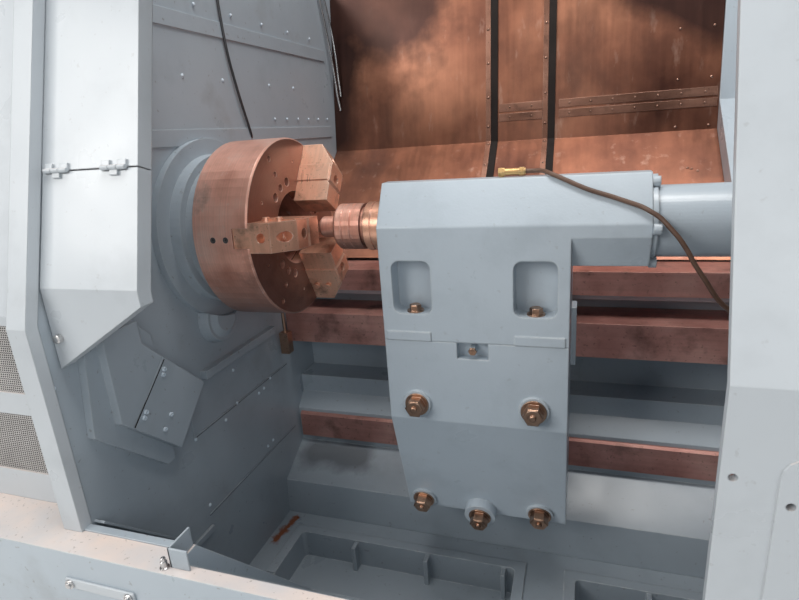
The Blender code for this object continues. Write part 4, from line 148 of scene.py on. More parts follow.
class Finish:
    """A procedural surface, built up from shared noise, grain, stains and painted shade, edges
    lightened as wear and painted highlight, and relief.
    """

    def __init__(self, name, metallic=0.0, specular=0.5, coat=0.0, coat_roughness=0.1):
        self.material = bpy.data.materials.new(name)
        self.material.use_nodes = True
        self.tree = self.material.node_tree
        self.shader = self.tree.nodes["Principled BSDF"]
        self.shader.inputs["Metallic"].default_value = metallic
        self.shader.inputs["Specular IOR Level"].default_value = specular
        self.shader.inputs["Coat Weight"].default_value = coat
        self.shader.inputs["Coat Roughness"].default_value = coat_roughness
        self.place = self.add("ShaderNodeTexCoord").outputs["Object"]
        self.colour = None
        self.rough = None
        self.height = None
        self.normal = None

    def add(self, kind, **settings):
        node = self.tree.nodes.new(kind)
        for key, value in settings.items():
            setattr(node, key, value)
        return node

    def link(self, source, target):
        self.tree.links.new(source, target)

    def stretched(self, scale):
        node = self.add("ShaderNodeMapping")
        node.inputs["Scale"].default_value = scale
        self.link(self.place, node.inputs["Vector"])
        return node.outputs["Vector"]

    def noise(self, scale, detail=4.0, roughness=0.55, vector=None):
        node = self.add("ShaderNodeTexNoise")
        node.inputs["Scale"].default_value = scale
        node.inputs["Detail"].default_value = detail
        node.inputs["Roughness"].default_value = roughness
        self.link(vector or self.place, node.inputs["Vector"])
        return node.outputs["Fac"]

    def ramp(self, factor, *stops):
        node = self.add("ShaderNodeValToRGB")
        band = node.color_ramp
        while len(band.elements) < len(stops):
            band.elements.new(0.5)
        for element, (position, colour) in zip(band.elements, stops):
            element.position = position
            element.color = (*colour, 1.0)
        self.link(factor, node.inputs["Fac"])
        return node.outputs["Color"]

    def reach(self, value, low, high, start=0.0, end=1.0):
        """value between low and high, spread to start..end and held there."""
        node = self.add("ShaderNodeMapRange")
        node.inputs["From Min"].default_value = low
        node.inputs["From Max"].default_value = high
        node.inputs["To Min"].default_value = start
        node.inputs["To Max"].default_value = end
        self.link(value, node.inputs["Value"])
        return node.outputs["Result"]

    def maths(self, kind, a, b=None):
        node = self.add("ShaderNodeMath", operation=kind)
        for slot, value in zip(node.inputs, (a, b)):
            if value is None:
                continue
            if isinstance(value, (int, float)):
                slot.default_value = value
            else:
                self.link(value, slot)
        return node.outputs["Value"]

    def mix(self, factor, a, b, blend="MIX"):
        node = self.add("ShaderNodeMix", data_type="RGBA", blend_type=blend)
        for slot, value in ((node.inputs[0], factor), (node.inputs[6], a), (node.inputs[7], b)):
            if isinstance(value, (int, float)):
                slot.default_value = value
            elif isinstance(value, tuple):
                slot.default_value = (*value, 1.0)
            else:
                self.link(value, slot)
        return node.outputs[2]

    def base(self, *tones, scale=2.2, detail=6.0, low=0.36, high=0.64):
        """Two or more close tones, drifting from one to the next."""
        factor = self.noise(scale, detail)
        step = (high - low) / (len(tones) - 1)
        self.colour = self.ramp(factor, *[(low + step * i, tone) for i, tone in enumerate(tones)])

    def speckle(self, tone, scale, start, end, strength=1.0, detail=5.0, stretch=None):
        """Patches of another tone where a noise is high."""
        vector = self.stretched(stretch) if stretch else None
        mask = self.reach(self.noise(scale, detail, 0.6, vector), start, end, 0.0, strength)
        self.colour = self.mix(mask, self.colour, tone)

    def grain(self, stretch, depth, detail=3.0):
        """Fine directional marks that tint the colour and give relief."""
        lines = self.noise(1.0, detail, 0.6, self.stretched(stretch))
        tint = self.reach(lines, 0.25, 0.75, 1.0 - depth, 1.0 + depth)
        grey = self.add("ShaderNodeCombineColor")
        for socket in grey.inputs:
            self.link(tint, socket)
        self.colour = self.mix(1.0, self.colour, grey.outputs[0], "MULTIPLY")
        self.height = lines if self.height is None else self.maths("ADD", self.height, lines)
        return lines

    def shine(self, low, high, scale=6.0, source=None):
        """Roughness from low to high."""
        source = source or self.noise(scale, 5.0)
        self.rough = self.reach(source, 0.3, 0.7, low, high)

    def edges(self, radius):
        """Softly broken edges, by bending the normal there."""
        bevel = self.add("ShaderNodeBevel", samples=BEVEL_SAMPLES)
        bevel.inputs["Radius"].default_value = radius
        self.normal = bevel.outputs["Normal"]

    def edge_wear_and_highlight(self, tone, radius, strength):
        """Another tone along the edges, broken up by noise: partly wear, partly painted highlight."""
        bevel = self.add("ShaderNodeBevel", samples=BEVEL_SAMPLES)
        bevel.inputs["Radius"].default_value = radius
        flat = self.add("ShaderNodeNewGeometry").outputs["Normal"]
        dot = self.add("ShaderNodeVectorMath", operation="DOT_PRODUCT")
        self.link(bevel.outputs["Normal"], dot.inputs[0])
        self.link(flat, dot.inputs[1])
        mask = self.reach(dot.outputs["Value"], 0.995, 0.9, 0.0, strength)
        broken = self.reach(self.noise(30.0, 6.0), 0.4, 0.6, 0.25, 1.0)
        self.colour = self.mix(self.maths("MULTIPLY", mask, broken), self.colour, tone)

    def facing(self, direction, low, high):
        """How much the surface faces a direction."""
        normal = self.add("ShaderNodeNewGeometry").outputs["Normal"]
        dot = self.add("ShaderNodeVectorMath", operation="DOT_PRODUCT")
        self.link(normal, dot.inputs[0])
        dot.inputs[1].default_value = direction
        return self.reach(dot.outputs["Value"], low, high)

    def axis(self, name):
        split = self.add("ShaderNodeSeparateXYZ")
        self.link(self.place, split.inputs[0])
        return split.outputs[name]

    def streak(self, start, end, width, tone, strength, scale=45.0):
        """A patch of another tone along a line between two places given from the datum, with a ragged
        edge; the callers use it for real stains and for painted shade and painted reflections.
        """
        a = Vector(start) + DATUM
        b = Vector(end) + DATUM
        along = (b - a).normalized()
        reach = (b - a).length
        offset = self.add("ShaderNodeVectorMath", operation="SUBTRACT")
        self.link(self.place, offset.inputs[0])
        offset.inputs[1].default_value = a
        dot = self.add("ShaderNodeVectorMath", operation="DOT_PRODUCT")
        self.link(offset.outputs["Vector"], dot.inputs[0])
        dot.inputs[1].default_value = along
        travel = self.reach(dot.outputs["Value"], 0.0, reach, 0.0, reach)
        foot = self.add("ShaderNodeVectorMath", operation="SCALE")
        foot.inputs[0].default_value = along
        self.link(travel, foot.inputs["Scale"])
        gap = self.add("ShaderNodeVectorMath", operation="DISTANCE")
        self.link(offset.outputs["Vector"], gap.inputs[0])
        self.link(foot.outputs["Vector"], gap.inputs[1])
        ragged = self.reach(self.noise(scale, 6.0), 0.3, 0.7, 0.35, 1.5)
        edge = self.maths("DIVIDE", gap.outputs["Value"], ragged)
        mask = self.reach(edge, width, 0.4 * width, 0.0, strength)
        self.colour = self.mix(mask, self.colour, tone)

    def done(self, bump=0.1, distance=0.001):
        if self.colour is not None:
            self.link(self.colour, self.shader.inputs["Base Color"])
        if self.rough is not None:
            self.link(self.rough, self.shader.inputs["Roughness"])
        if self.height is not None:
            relief = self.add("ShaderNodeBump")
            relief.inputs["Strength"].default_value = bump
            relief.inputs["Distance"].default_value = distance
            self.link(self.height, relief.inputs["Height"])
            if self.normal is not None:
                self.link(self.normal, relief.inputs["Normal"])
            self.normal = relief.outputs["Normal"]
        if self.normal is not None:
            self.link(self.normal, self.shader.inputs["Normal"])
        return self.material


PAINT_TONES = ((0.398, 0.463, 0.520), (0.422, 0.487, 0.545), (0.446, 0.512, 0.568))
PAINT_FADED = 0.56
# Lighter tone on paint edges: partly wear, partly painted highlight.
PAINT_WORN_HIGHLIGHT = (0.62, 0.66, 0.68)
PAINT_DIRT = (0.16, 0.135, 0.12)
DUST = (0.74, 0.61, 0.54)
RUST = (0.25, 0.070, 0.018)
# Colour of the painted shade of the recess under the lower way.
RECESS_SHADE = (0.035, 0.034, 0.038)
DUST_LOW = 0.77
DUST_FADE = 0.02
# Dark tone laid on the paint low down: partly grime, partly painted shade of the low interior.
GRIME_AND_SHADE = (0.085, 0.108, 0.130)
PAN_RUST_STREAK = ((-0.237, 0.147, -1.171), (-0.256, 0.012, -1.171), 0.021, RUST, 0.97)
# A dark patch under the lower way, painted as the shade of the recess there.
BED_RECESS_SHADE_PATCH = ((-0.20, 0.300, -0.955), (-0.02, 0.300, -0.955), 0.095, RECESS_SHADE, 0.62, 5.0)


def paint(name, edge, dirt, dusty=0.0, cast=0.0, stains_and_painted_shade=(), tone_and_painted_light_lift=1.0, wear_highlight_share=0.5, grime_and_shade=None,
          fade=0.0):
    """Machine paint: drifting tones, specks, dust on top faces, darkening low down that is partly
    grime and partly painted shade, and edges lightened partly by wear and partly as painted highlight.
    """
    finish = Finish(name, specular=0.5, coat=0.25, coat_roughness=0.18)
    # The lift scales the tones. On front, cast and inner paint it makes lit and shaded copies of one
    # paint, which is painted light. On the screws it is their own lighter tone.
    tones = [tuple(min(1.0, c * tone_and_painted_light_lift * (1.0 - fade) + PAINT_FADED * fade) for c in tone)
             for tone in PAINT_TONES]
    finish.base(*tones, scale=1.6)
    finish.speckle(tuple(0.86 * c for c in tones[0]), 7.0, 0.52, 0.75, 0.6)
    finish.speckle(PAINT_DIRT, 3.2, 0.60, 0.82, dirt, detail=9.0)
    finish.speckle(PAINT_DIRT, 60.0, 0.68, 0.74, dirt, detail=2.0)
    if dusty:
        above = finish.reach(finish.axis("Z"), DUST_LOW, DUST_LOW + DUST_FADE)
        up = finish.maths("MULTIPLY", finish.facing((0.0, 0.0, 1.0), 0.55, 0.95), above)
        cloud = finish.reach(finish.noise(5.0, 8.0), 0.30, 0.62, 0.25, dusty)
        finish.colour = finish.mix(finish.maths("MULTIPLY", up, cloud), finish.colour, DUST)
        crumbs = finish.reach(finish.noise(110.0, 3.0), 0.64, 0.70, 0.0, 0.45)
        finish.colour = finish.mix(finish.maths("MULTIPLY", up, crumbs), finish.colour, PAINT_DIRT)
    # Darker towards the bottom, in patches: partly grime, partly painted shade.
    if grime_and_shade:
        low, high, share = grime_and_shade
        low_darkening = finish.reach(finish.axis("Z"), high, low, 0.0, share)
        patchy = finish.reach(finish.noise(2.4, 6.0), 0.30, 0.70, 0.65, 1.0)
        finish.colour = finish.mix(finish.maths("MULTIPLY", low_darkening, patchy), finish.colour, GRIME_AND_SHADE)
    # A rust streak and patches of painted shade.
    for streak in stains_and_painted_shade:
        finish.streak(*streak)
    # Edges lightened: partly wear, partly painted highlight.
    finish.edge_wear_and_highlight(PAINT_WORN_HIGHLIGHT, edge, wear_highlight_share)
    finish.shine(0.26, 0.46)
    peel = finish.noise(160.0, 2.0)
    lumps = finish.noise(26.0, 3.0)
    finish.height = finish.maths("ADD", finish.maths("MULTIPLY", peel, 0.12 + cast), lumps)
    finish.edges(edge)
    return finish.done(0.12 + 0.5 * cast, 0.002)


def bare(name, tones, stretch, rough, bright, edge=0.0012, stain=None, stain_scale=5.0, depth=0.10,
         metallic=1.0):
    """Bare metal with directional marks, stains, and brighter edges that are partly wear and partly
    painted highlight.
    """
    finish = Finish(name, metallic=metallic, coat=0.15, coat_roughness=0.25)
    finish.base(*tones, scale=3.4, low=0.32, high=0.68)
    if stain:
        finish.speckle(stain, stain_scale, 0.54, 0.74, 0.75, detail=8.0)
        finish.speckle(stain, 10 * stain_scale, 0.62, 0.72, 0.55, detail=3.0)
    lines = finish.grain(stretch, depth)
    # Brighter edges: partly wear, partly painted highlight.
    finish.edge_wear_and_highlight(bright, 1.6 * edge, 0.85)
    patches = finish.maths("ADD", finish.maths("MULTIPLY", lines, 0.35),
                           finish.maths("MULTIPLY", finish.noise(7.0, 6.0), 0.65))
    finish.shine(*rough, source=patches)
    finish.edges(edge)
    return finish.done(0.10, 0.0006)


# Large dark patches on the covers: painted reflections of the dark surroundings.
COVER_PAINTED_REFLECTIONS = (((-0.30, 1.05, 0.78), (0.04, 1.05, 0.72), 0.32),
                ((-0.30, 0.98, 0.28), (-0.22, 1.02, 0.60), 0.14),
                ((1.02, 1.03, 0.70), (1.26, 1.02, 0.60), 0.17))


def sheet_steel(name):
    """Bare folded covers: brown, softly brushed upright, with cloudy stains and large dark patches
    painted as reflections of the dark surroundings.
    """
    finish = Finish(name, metallic=0.92, coat=0.3, coat_roughness=0.3)
    finish.base((0.10, 0.037, 0.026), (0.29, 0.118, 0.070), (0.50, 0.220, 0.130), scale=1.9,
                detail=7.0, low=0.32, high=0.68)
    finish.speckle((0.060, 0.036, 0.032), 3.4, 0.52, 0.78, 0.8, detail=9.0,
                   stretch=(1.0, 1.0, 0.45))
    finish.speckle((0.60, 0.41, 0.33), 24.0, 0.60, 0.80, 0.45, detail=6.0,
                   stretch=(1.0, 1.0, 0.3))
    # Painted dark reflections.
    for start, end, width in COVER_PAINTED_REFLECTIONS:
        finish.streak(start, end, width, (0.035, 0.014, 0.012), 0.90, 3.0)
    lines = finish.grain((46.0, 12.0, 1.1), 0.12, detail=5.0)
    patches = finish.maths("ADD", finish.maths("MULTIPLY", lines, 0.3),
                           finish.maths("MULTIPLY", finish.noise(6.0, 7.0), 0.7))
    finish.shine(0.26, 0.52, source=patches)
    finish.edges(0.0015)
    return finish.done(0.08, 0.0006)


RINGS_PER_METRE = 260.0


def turned_steel(name, tones, rough):
    """Bare steel with fine turning rings about the spindle axis, with painted shade on its face and on
    its underside.
    """
    finish = Finish(name, metallic=0.64, coat=0.3, coat_roughness=0.22)
    finish.base(*tones, scale=5.0, low=0.32, high=0.68)
    finish.speckle((0.09, 0.045, 0.032), 8.0, 0.55, 0.78, 0.75, detail=8.0)
    finish.speckle((0.85, 0.66, 0.58), 42.0, 0.62, 0.74, 0.5, detail=4.0)
    # Painted shade on faces turned to +X, away from the main light.
    face = finish.facing((1.0, 0.0, 0.0), 0.8, 0.98)
    finish.colour = finish.mix(finish.maths("MULTIPLY", face, 0.72), finish.colour,
                               (0.085, 0.028, 0.018))
    # Painted shade on faces turned downward.
    underside_shade = finish.facing((0.0, 0.35, -0.94), -0.35, 0.7)
    finish.colour = finish.mix(finish.maths("MULTIPLY", underside_shade, 0.75), finish.colour,
                               (0.11, 0.050, 0.040))
    split = finish.add("ShaderNodeSeparateXYZ")
    finish.link(finish.place, split.inputs[0])
    across = finish.maths("SUBTRACT", split.outputs["Y"], DATUM.y)
    above = finish.maths("SUBTRACT", split.outputs["Z"], DATUM.z)
    radius = finish.maths("SQRT", finish.maths(
        "ADD", finish.maths("MULTIPLY", across, across), finish.maths("MULTIPLY", above, above)))
    rings = finish.add("ShaderNodeCombineXYZ")
    for distance, target in zip((split.outputs["X"], radius), rings.inputs):
        finish.link(finish.maths("MULTIPLY", distance, RINGS_PER_METRE), target)
    lines = finish.noise(1.0, 4.0, 0.6, rings.outputs[0])
    tint = finish.reach(lines, 0.25, 0.75, 0.86, 1.14)
    grey = finish.add("ShaderNodeCombineColor")
    for socket in grey.inputs:
        finish.link(tint, socket)
    finish.colour = finish.mix(1.0, finish.colour, grey.outputs[0], "MULTIPLY")
    finish.height = lines
    # Brighter rims: partly wear, partly painted highlight.
    finish.edge_wear_and_highlight((0.88, 0.70, 0.62), 0.002, 0.8)
    patches = finish.maths("ADD", finish.maths("MULTIPLY", lines, 0.35),
                           finish.maths("MULTIPLY", finish.noise(9.0, 6.0), 0.65))
    finish.shine(*rough, source=patches)
    finish.edges(0.0016)
    return finish.done(0.14, 0.0005)


def rubbery(name, tones, roughness, fine=220.0, bump=0.25, specular=0.4):
    finish = Finish(name, specular=specular)
    finish.base(*tones, scale=6.0)
    finish.speckle(tuple(0.5 * c for c in tones[0]), 18.0, 0.55, 0.75, 0.6)
    finish.shine(*roughness)
    finish.height = finish.noise(fine, 4.0)
    finish.edges(0.0012)
    return finish.done(bump, 0.0005)


HOLE_PITCH = 0.0065
HOLE_SHARE = 0.36
HOLE_SOFT = 0.04


def perforated(name):
    """Sheet with staggered round holes, painted dark as the shade seen through them, in a grey plate.
    """
    finish = Finish(name, metallic=0.2)
    finish.base((0.50, 0.49, 0.48), (0.60, 0.59, 0.58), scale=9.0)
    split = finish.add("ShaderNodeSeparateXYZ")
    finish.link(finish.place, split.inputs[0])
    row_pitch = HOLE_PITCH * math.sin(math.radians(60.0))
    rows = finish.maths("DIVIDE", split.outputs["Z"], row_pitch)
    row = finish.maths("FLOOR", rows)
    shift = finish.maths("MULTIPLY", finish.maths("FLOORED_MODULO", row, 2.0), 0.5)
    columns = finish.maths("ADD", finish.maths("DIVIDE", split.outputs["X"], HOLE_PITCH), shift)
    u = finish.maths("SUBTRACT", finish.maths("FRACT", columns), 0.5)
    v = finish.maths("MULTIPLY", finish.maths(
        "SUBTRACT", finish.maths("FRACT", rows), 0.5), row_pitch / HOLE_PITCH)
    gap = finish.maths("SQRT", finish.maths(
        "ADD", finish.maths("MULTIPLY", u, u), finish.maths("MULTIPLY", v, v)))
    hole = finish.reach(gap, HOLE_SHARE + HOLE_SOFT, HOLE_SHARE - HOLE_SOFT)
    # Holes painted near-black: painted shade of the space behind the sheet.
    finish.colour = finish.mix(hole, finish.colour, (0.012, 0.011, 0.011))
    finish.height = finish.maths("SUBTRACT", 1.0, hole)
    finish.shine(0.42, 0.62)
    return finish.done(0.5, 0.001)


def glass(name):
    finish = Finish(name, specular=0.5)
    finish.shader.inputs["Transmission Weight"].default_value = 0.9
    finish.shader.inputs["IOR"].default_value = 1.5
    finish.base((0.72, 0.78, 0.78), (0.80, 0.85, 0.85), scale=3.0)
    finish.shine(0.03, 0.12, scale=12.0)
    return finish.done()


CHUCK_TONES = ((0.58, 0.250, 0.175), (0.90, 0.480, 0.370), (0.98, 0.650, 0.540))
JAW_TONES = ((0.56, 0.260, 0.175), (0.90, 0.500, 0.345), (0.98, 0.680, 0.520))
WAY_TONES = ((0.38, 0.165, 0.140), (0.60, 0.305, 0.260), (0.78, 0.460, 0.400))
STEEL_TONES = ((0.42, 0.41, 0.41), (0.56, 0.55, 0.55), (0.66, 0.65, 0.64))


def finishes():
    """Every finish, by the name of its material slot or of its own where it has one."""
    return {
        # Front paint is lifted as painted light for the lit panels, and inner paint is lowered as
        # painted shade.
        "paint_front": paint("front_paint", edge=0.0035, dusty=0.5, tone_and_painted_light_lift=1.10, dirt=0.16, fade=0.4),
        "paint_cast": paint("cast_paint", edge=0.006, cast=0.35, dirt=0.16, tone_and_painted_light_lift=1.08, wear_highlight_share=0.7),
        "paint_inner": paint("inner_paint", edge=0.003, dirt=0.45, grime_and_shade=(0.45, 1.25, 0.38),
                             tone_and_painted_light_lift=0.95),
        "paint_base": paint(
            "base_paint", edge=0.005, dusty=0.9, dirt=0.4, wear_highlight_share=1.0, grime_and_shade=(0.25, 0.80, 0.34),
            stains_and_painted_shade=(PAN_RUST_STREAK, BED_RECESS_SHADE_PATCH)),
        "warm_bare_steel": turned_steel("chuck_steel", CHUCK_TONES, (0.30, 0.50)),
        "way_steel": bare("way_steel", WAY_TONES, (1.2, 60.0, 60.0), rough=(0.34, 0.56), metallic=0.72,
                          bright=(0.66, 0.46, 0.38), stain=(0.10, 0.055, 0.045),
                          stain_scale=9.0, depth=0.12),
        "jaw_steel": bare("jaw_steel", JAW_TONES, (90.0, 8.0, 8.0), rough=(0.24, 0.42), metallic=0.6,
                          bright=(0.90, 0.72, 0.62), stain=(0.14, 0.07, 0.05),
                          stain_scale=16.0, edge=0.0018),
        "cover_steel": sheet_steel("cover_sheet_steel"),
        "bright_steel": bare("bright_machined_steel", STEEL_TONES, (60.0, 6.0, 6.0),
                             rough=(0.20, 0.36), bright=(0.78, 0.77, 0.76), depth=0.06),
        "dark_steel": bare("oiled_dark_steel", ((0.07, 0.07, 0.075), (0.14, 0.14, 0.145)),
                           (30.0, 30.0, 30.0), rough=(0.34, 0.55), bright=(0.35, 0.34, 0.33)),
        "brass": bare("aged_brass", ((0.52, 0.32, 0.13), (0.72, 0.48, 0.22)),
                      (40.0, 40.0, 40.0), rough=(0.24, 0.42), bright=(0.85, 0.64, 0.36),
                      stain=(0.20, 0.11, 0.05), stain_scale=30.0),
        "bronze_bolt": bare("bronze_bolt_steel", ((0.30, 0.175, 0.115), (0.52, 0.33, 0.23)),
                            (40.0, 40.0, 40.0), rough=(0.24, 0.42), bright=(0.86, 0.66, 0.54),
                            stain=(0.09, 0.05, 0.035), stain_scale=40.0),
        "brown_hose": rubbery("brown_hose_jacket", ((0.10, 0.055, 0.038), (0.17, 0.10, 0.07)),
                              (0.36, 0.52)),
        "black_rubber": rubbery("black_rubber_and_shade_strips", ((0.016, 0.012, 0.011),
                                                       (0.028, 0.022, 0.020)), (0.60, 0.80),
                                specular=0.15),
        "black_plastic": rubbery("moulded_black_plastic", ((0.020, 0.020, 0.022),
                                                           (0.032, 0.032, 0.034)),
                                 (0.34, 0.46), fine=500.0, bump=0.12),
        "red_plastic": rubbery("moulded_red_plastic", ((0.50, 0.020, 0.015),
                                                       (0.58, 0.030, 0.020)),
                               (0.28, 0.40), fine=500.0, bump=0.08),
        "green_plastic": rubbery("moulded_green_plastic", ((0.020, 0.26, 0.075),
                                                           (0.030, 0.32, 0.095)),
                                 (0.28, 0.40), fine=500.0, bump=0.08),
        "safety_glass": glass("door_glass"),
        "mesh": perforated("vent_mesh"),
        "painted_screw": paint("painted_screw_heads", edge=0.001, tone_and_painted_light_lift=1.45, dirt=0.1),
        "cover_trim": bare("cover_strip_steel", ((0.16, 0.075, 0.050), (0.30, 0.155, 0.11),
                                                 (0.40, 0.22, 0.16)), (8.0, 8.0, 60.0),
                           rough=(0.28, 0.48), bright=(0.66, 0.44, 0.35),
                           stain=(0.07, 0.038, 0.03), stain_scale=14.0),
        "cover_rivet": bare("cover_rivet_steel", ((0.22, 0.12, 0.085), (0.42, 0.26, 0.20)),
                            (60.0, 60.0, 60.0), rough=(0.22, 0.36), bright=(0.80, 0.62, 0.54)),
    }


CAST_NODES = ("tailstock_base", "tailstock_head", "tailstock_cylinder", "headstock",
              "cross_slide", "carriage_saddle", "spindle_motor")
FRONT_NODES = ("chuck_guard_flap", "chuck_guard_frame", "left_pillar", "headstock_panel",
               "right_front_panel", "sliding_door", "door_header", "headstock_cover",
               "rear_casing", "control_pendant")
BASE_NODES = ("machine_base", "slant_bed", "coolant_tank")
WAY_NODES = ("tailstock_way_lower", "tailstock_way_upper", "carriage_way_front",
             "carriage_way_rear")
JAW_NODES = ("chuck_jaw_1", "chuck_jaw_2", "chuck_jaw_3")


def dress(table):
    """Gives every CAD node its finish."""
    for name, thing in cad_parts.items():
        for index, old in enumerate(thing.data.materials):
            kind = old.name.split(".")[0]
            if kind == "machine_paint":
                if name in CAST_NODES:
                    kind = "paint_cast"
                elif name in FRONT_NODES:
                    kind = "paint_front"
                elif name in BASE_NODES:
                    kind = "paint_base"
                else:
                    kind = "paint_inner"
            elif name == "coolant_valve":
                kind = "bronze_bolt"
            elif name == "tailstock_quill":
                kind = "warm_bare_steel"
            elif name in WAY_NODES:
                kind = "way_steel"
            elif name in JAW_NODES:
                kind = "jaw_steel"
            thing.data.materials[index] = table[kind]


# Fitted pieces: they reach into what they sit on by the overlap, or keep the gap from it
SHARP_ANGLE = math.radians(30.0)
OVERLAP = 0.0002
FIT_GAP = 0.0003


class Piece:
    """One fitted piece, gathered from shapes in places given from the datum."""

    def __init__(self, name, body, slot, material):
        self.name, self.body, self.slot, self.material = name, body, slot, material
        self.shape = bmesh.new()

    def spin(self, place, out, profile, segments=20, smooth=True):
        """Turns (height, radius) points about a line out of a surface."""
        out = Vector(out).normalized()
        side = Vector((1.0, 0.0, 0.0))
        if side.cross(out).length < 0.1:
            side = Vector((0.0, 1.0, 0.0))
        across = (side - out * side.dot(out)).normalized()
        up = out.cross(across)
        place = Vector(place) + DATUM
        rings = []
        for height, radius in profile:
            count = segments if radius > 0 else 1
            rings.append([self.shape.verts.new(
                place + out * height
                + (across * math.cos(math.tau * i / segments)
                   + up * math.sin(math.tau * i / segments)) * radius) for i in range(count)])
        for end in (rings[0][::-1], rings[-1]):
            if len(end) > 1:
                self.shape.faces.new(end)
        for low, high in zip(rings, rings[1:]):
            for i in range(segments):
                j = (i + 1) % segments
                corners = [low[i % len(low)], low[j % len(low)], high[j % len(high)],
                           high[i % len(high)]]
                self.shape.faces.new(list(dict.fromkeys(corners))).smooth = smooth

    def sleeve(self, place, out, profile, segments):
        """Turns a closed (height, radius) profile about a line to a hollow ring."""
        out = Vector(out).normalized()
        across = out.orthogonal().normalized()
        up = out.cross(across)
        place = Vector(place) + DATUM
        rings = [[self.shape.verts.new(
            place + out * height
            + (across * math.cos(math.tau * i / segments)
               + up * math.sin(math.tau * i / segments)) * radius) for i in range(segments)]
            for height, radius in profile]
        for low, high in zip(rings, rings[1:] + rings[:1]):
            for i in range(segments):
                j = (i + 1) % segments
                self.shape.faces.new([low[i], low[j], high[j], high[i]]).smooth = True

    def slab(self, outline, push):
        """A flat outline pushed along a line to a closed plate."""
        push = Vector(push)
        near = [self.shape.verts.new(Vector(p) + DATUM) for p in outline]
        far = [self.shape.verts.new(Vector(p) + push + DATUM) for p in outline]
        count = len(outline)
        self.shape.faces.new(near[::-1])
        self.shape.faces.new(far)
        for i in range(count):
            j = (i + 1) % count
            self.shape.faces.new([near[i], near[j], far[j], far[i]])

    def done(self, edge=0.0):
        bmesh.ops.recalc_face_normals(self.shape, faces=self.shape.faces)
        mesh = bpy.data.meshes.new(self.name)
        self.shape.to_mesh(mesh)
        self.shape.free()
        mesh.set_sharp_from_angle(angle=SHARP_ANGLE)
        mesh.materials.append(self.material)
        thing = bpy.data.objects.new(self.name, mesh)
        SCENE.collection.objects.link(thing)
        if edge:
            bevel = thing.modifiers.new("edges", "BEVEL")
            bevel.width = edge
            bevel.segments = 2
            bevel.limit_method = "ANGLE"
        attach(thing, self.body)


HEAD_SINK = 0.0005
WASHER_HEIGHT = 0.0042
BOLT_CHAMFER = 0.0026


def rivet(r):
    """Profile of a domed head."""
    return [(-HEAD_SINK, r), (0.2 * r, 0.96 * r), (0.45 * r, 0.72 * r), (0.6 * r, 0.38 * r),
            (0.66 * r, 0.0)]


def socket_screw(r):
    """Profile of a cap screw's head with its socket."""
    return [(-HEAD_SINK, r), (0.62 * r, r), (0.8 * r, 0.84 * r), (0.8 * r, 0.5 * r),
            (0.3 * r, 0.44 * r), (0.3 * r, 0.0)]


def hex_bolt(piece, place, out, radius, height, washer=0.0, point=0.0):
    """Hexagon head with a chamfered crown, on a washer, with the bolt's point where it shows."""
    if washer:
        piece.spin(place, out, [(-0.0004, washer), (WASHER_HEIGHT - 0.0008, washer),
                                (WASHER_HEIGHT, 0.97 * washer), (WASHER_HEIGHT, 0.0)], 32)
    dish = height + BOLT_CHAMFER
    piece.spin(place, out, [(0.0, radius), (height, radius), (dish, 0.9 * radius)], 6, smooth=False)
    piece.spin(place, out, [(dish - 0.0004, 0.80 * radius), (dish + 0.0006, 0.78 * radius),
                            (dish + 0.0008, 0.2 * radius), (dish - 0.0002, 0.0)], 24)
    if point:
        piece.spin(place, out, [(dish, point), (dish + 0.6 * point, point),
                                (dish + 0.8 * point, 0.7 * point), (dish + 0.8 * point, 0.0)], 20)


CLAMP_HEAD = {"radius": 0.0271, "height": 0.0302, "washer": 0.034, "point": 0.009}
CLAMP_STAND = 0.008
CLAMP_PLACES = ((0.370, -0.489), (0.690, -0.483))
FOOT_EDGE = (0.015, -0.914)
FOOT_BEND_DROP = 0.540
FOOT_BOLTS = ((0.340, 0.035, 0.008), (0.700, 0.035, 0.008), (0.522, 0.018, 0.030))
POCKET_BOLT_PLACES = (0.3725, 0.6925)
POCKET_BOLT_DEPTH = 0.0275
POCKET_FLOOR_DROP = 0.2231
POCKET_HEAD = {"radius": 0.0170, "height": 0.0163, "washer": 0.023}
SET_SCREW_PLACE = (0.531, -0.323)
SET_SCREW_HEAD = {"radius": 0.0125, "height": 0.0008}


def tailstock_bolts(steel):
    """Bare hexagon heads over the tailstock's clamp, pocket and set screws."""
    front = -TAIL_FRONT_REACH
    heads = Piece("tailstock_bolt_heads", "tailstock", "warm_bare_steel", steel)
    for x, z in CLAMP_PLACES:
        hex_bolt(heads, (x, front - CLAMP_STAND, z), (0, -1, 0), **CLAMP_HEAD)
    foot_y, foot_z = FOOT_EDGE
    tilt = math.atan2(foot_y + TAIL_FRONT_REACH, -foot_z - FOOT_BEND_DROP)
    out = Vector((0.0, -math.cos(tilt), -math.sin(tilt)))
    for x, inset, boss in FOOT_BOLTS:
        foot = Vector((x, foot_y - inset * math.tan(tilt), foot_z + inset))
        hex_bolt(heads, foot + out * boss, out, **CLAMP_HEAD)
    for x in POCKET_BOLT_PLACES:
        hex_bolt(heads, (x, front + POCKET_BOLT_DEPTH, -POCKET_FLOOR_DROP), (0, 0, 1), **POCKET_HEAD)
    x, z = SET_SCREW_PLACE
    hex_bolt(heads, (x, front + 0.0004, z), (0, -1, 0), **SET_SCREW_HEAD)
    heads.done(0.0006)


SCREW_ROW_PLACES = (-0.1030, -0.0650)
FIRST_JAW_ANGLE = 177.3
JAW_COUNT = 3
SET_SCREW_RADIUS = 0.0078
SOCKET_RADIUS = 0.0046


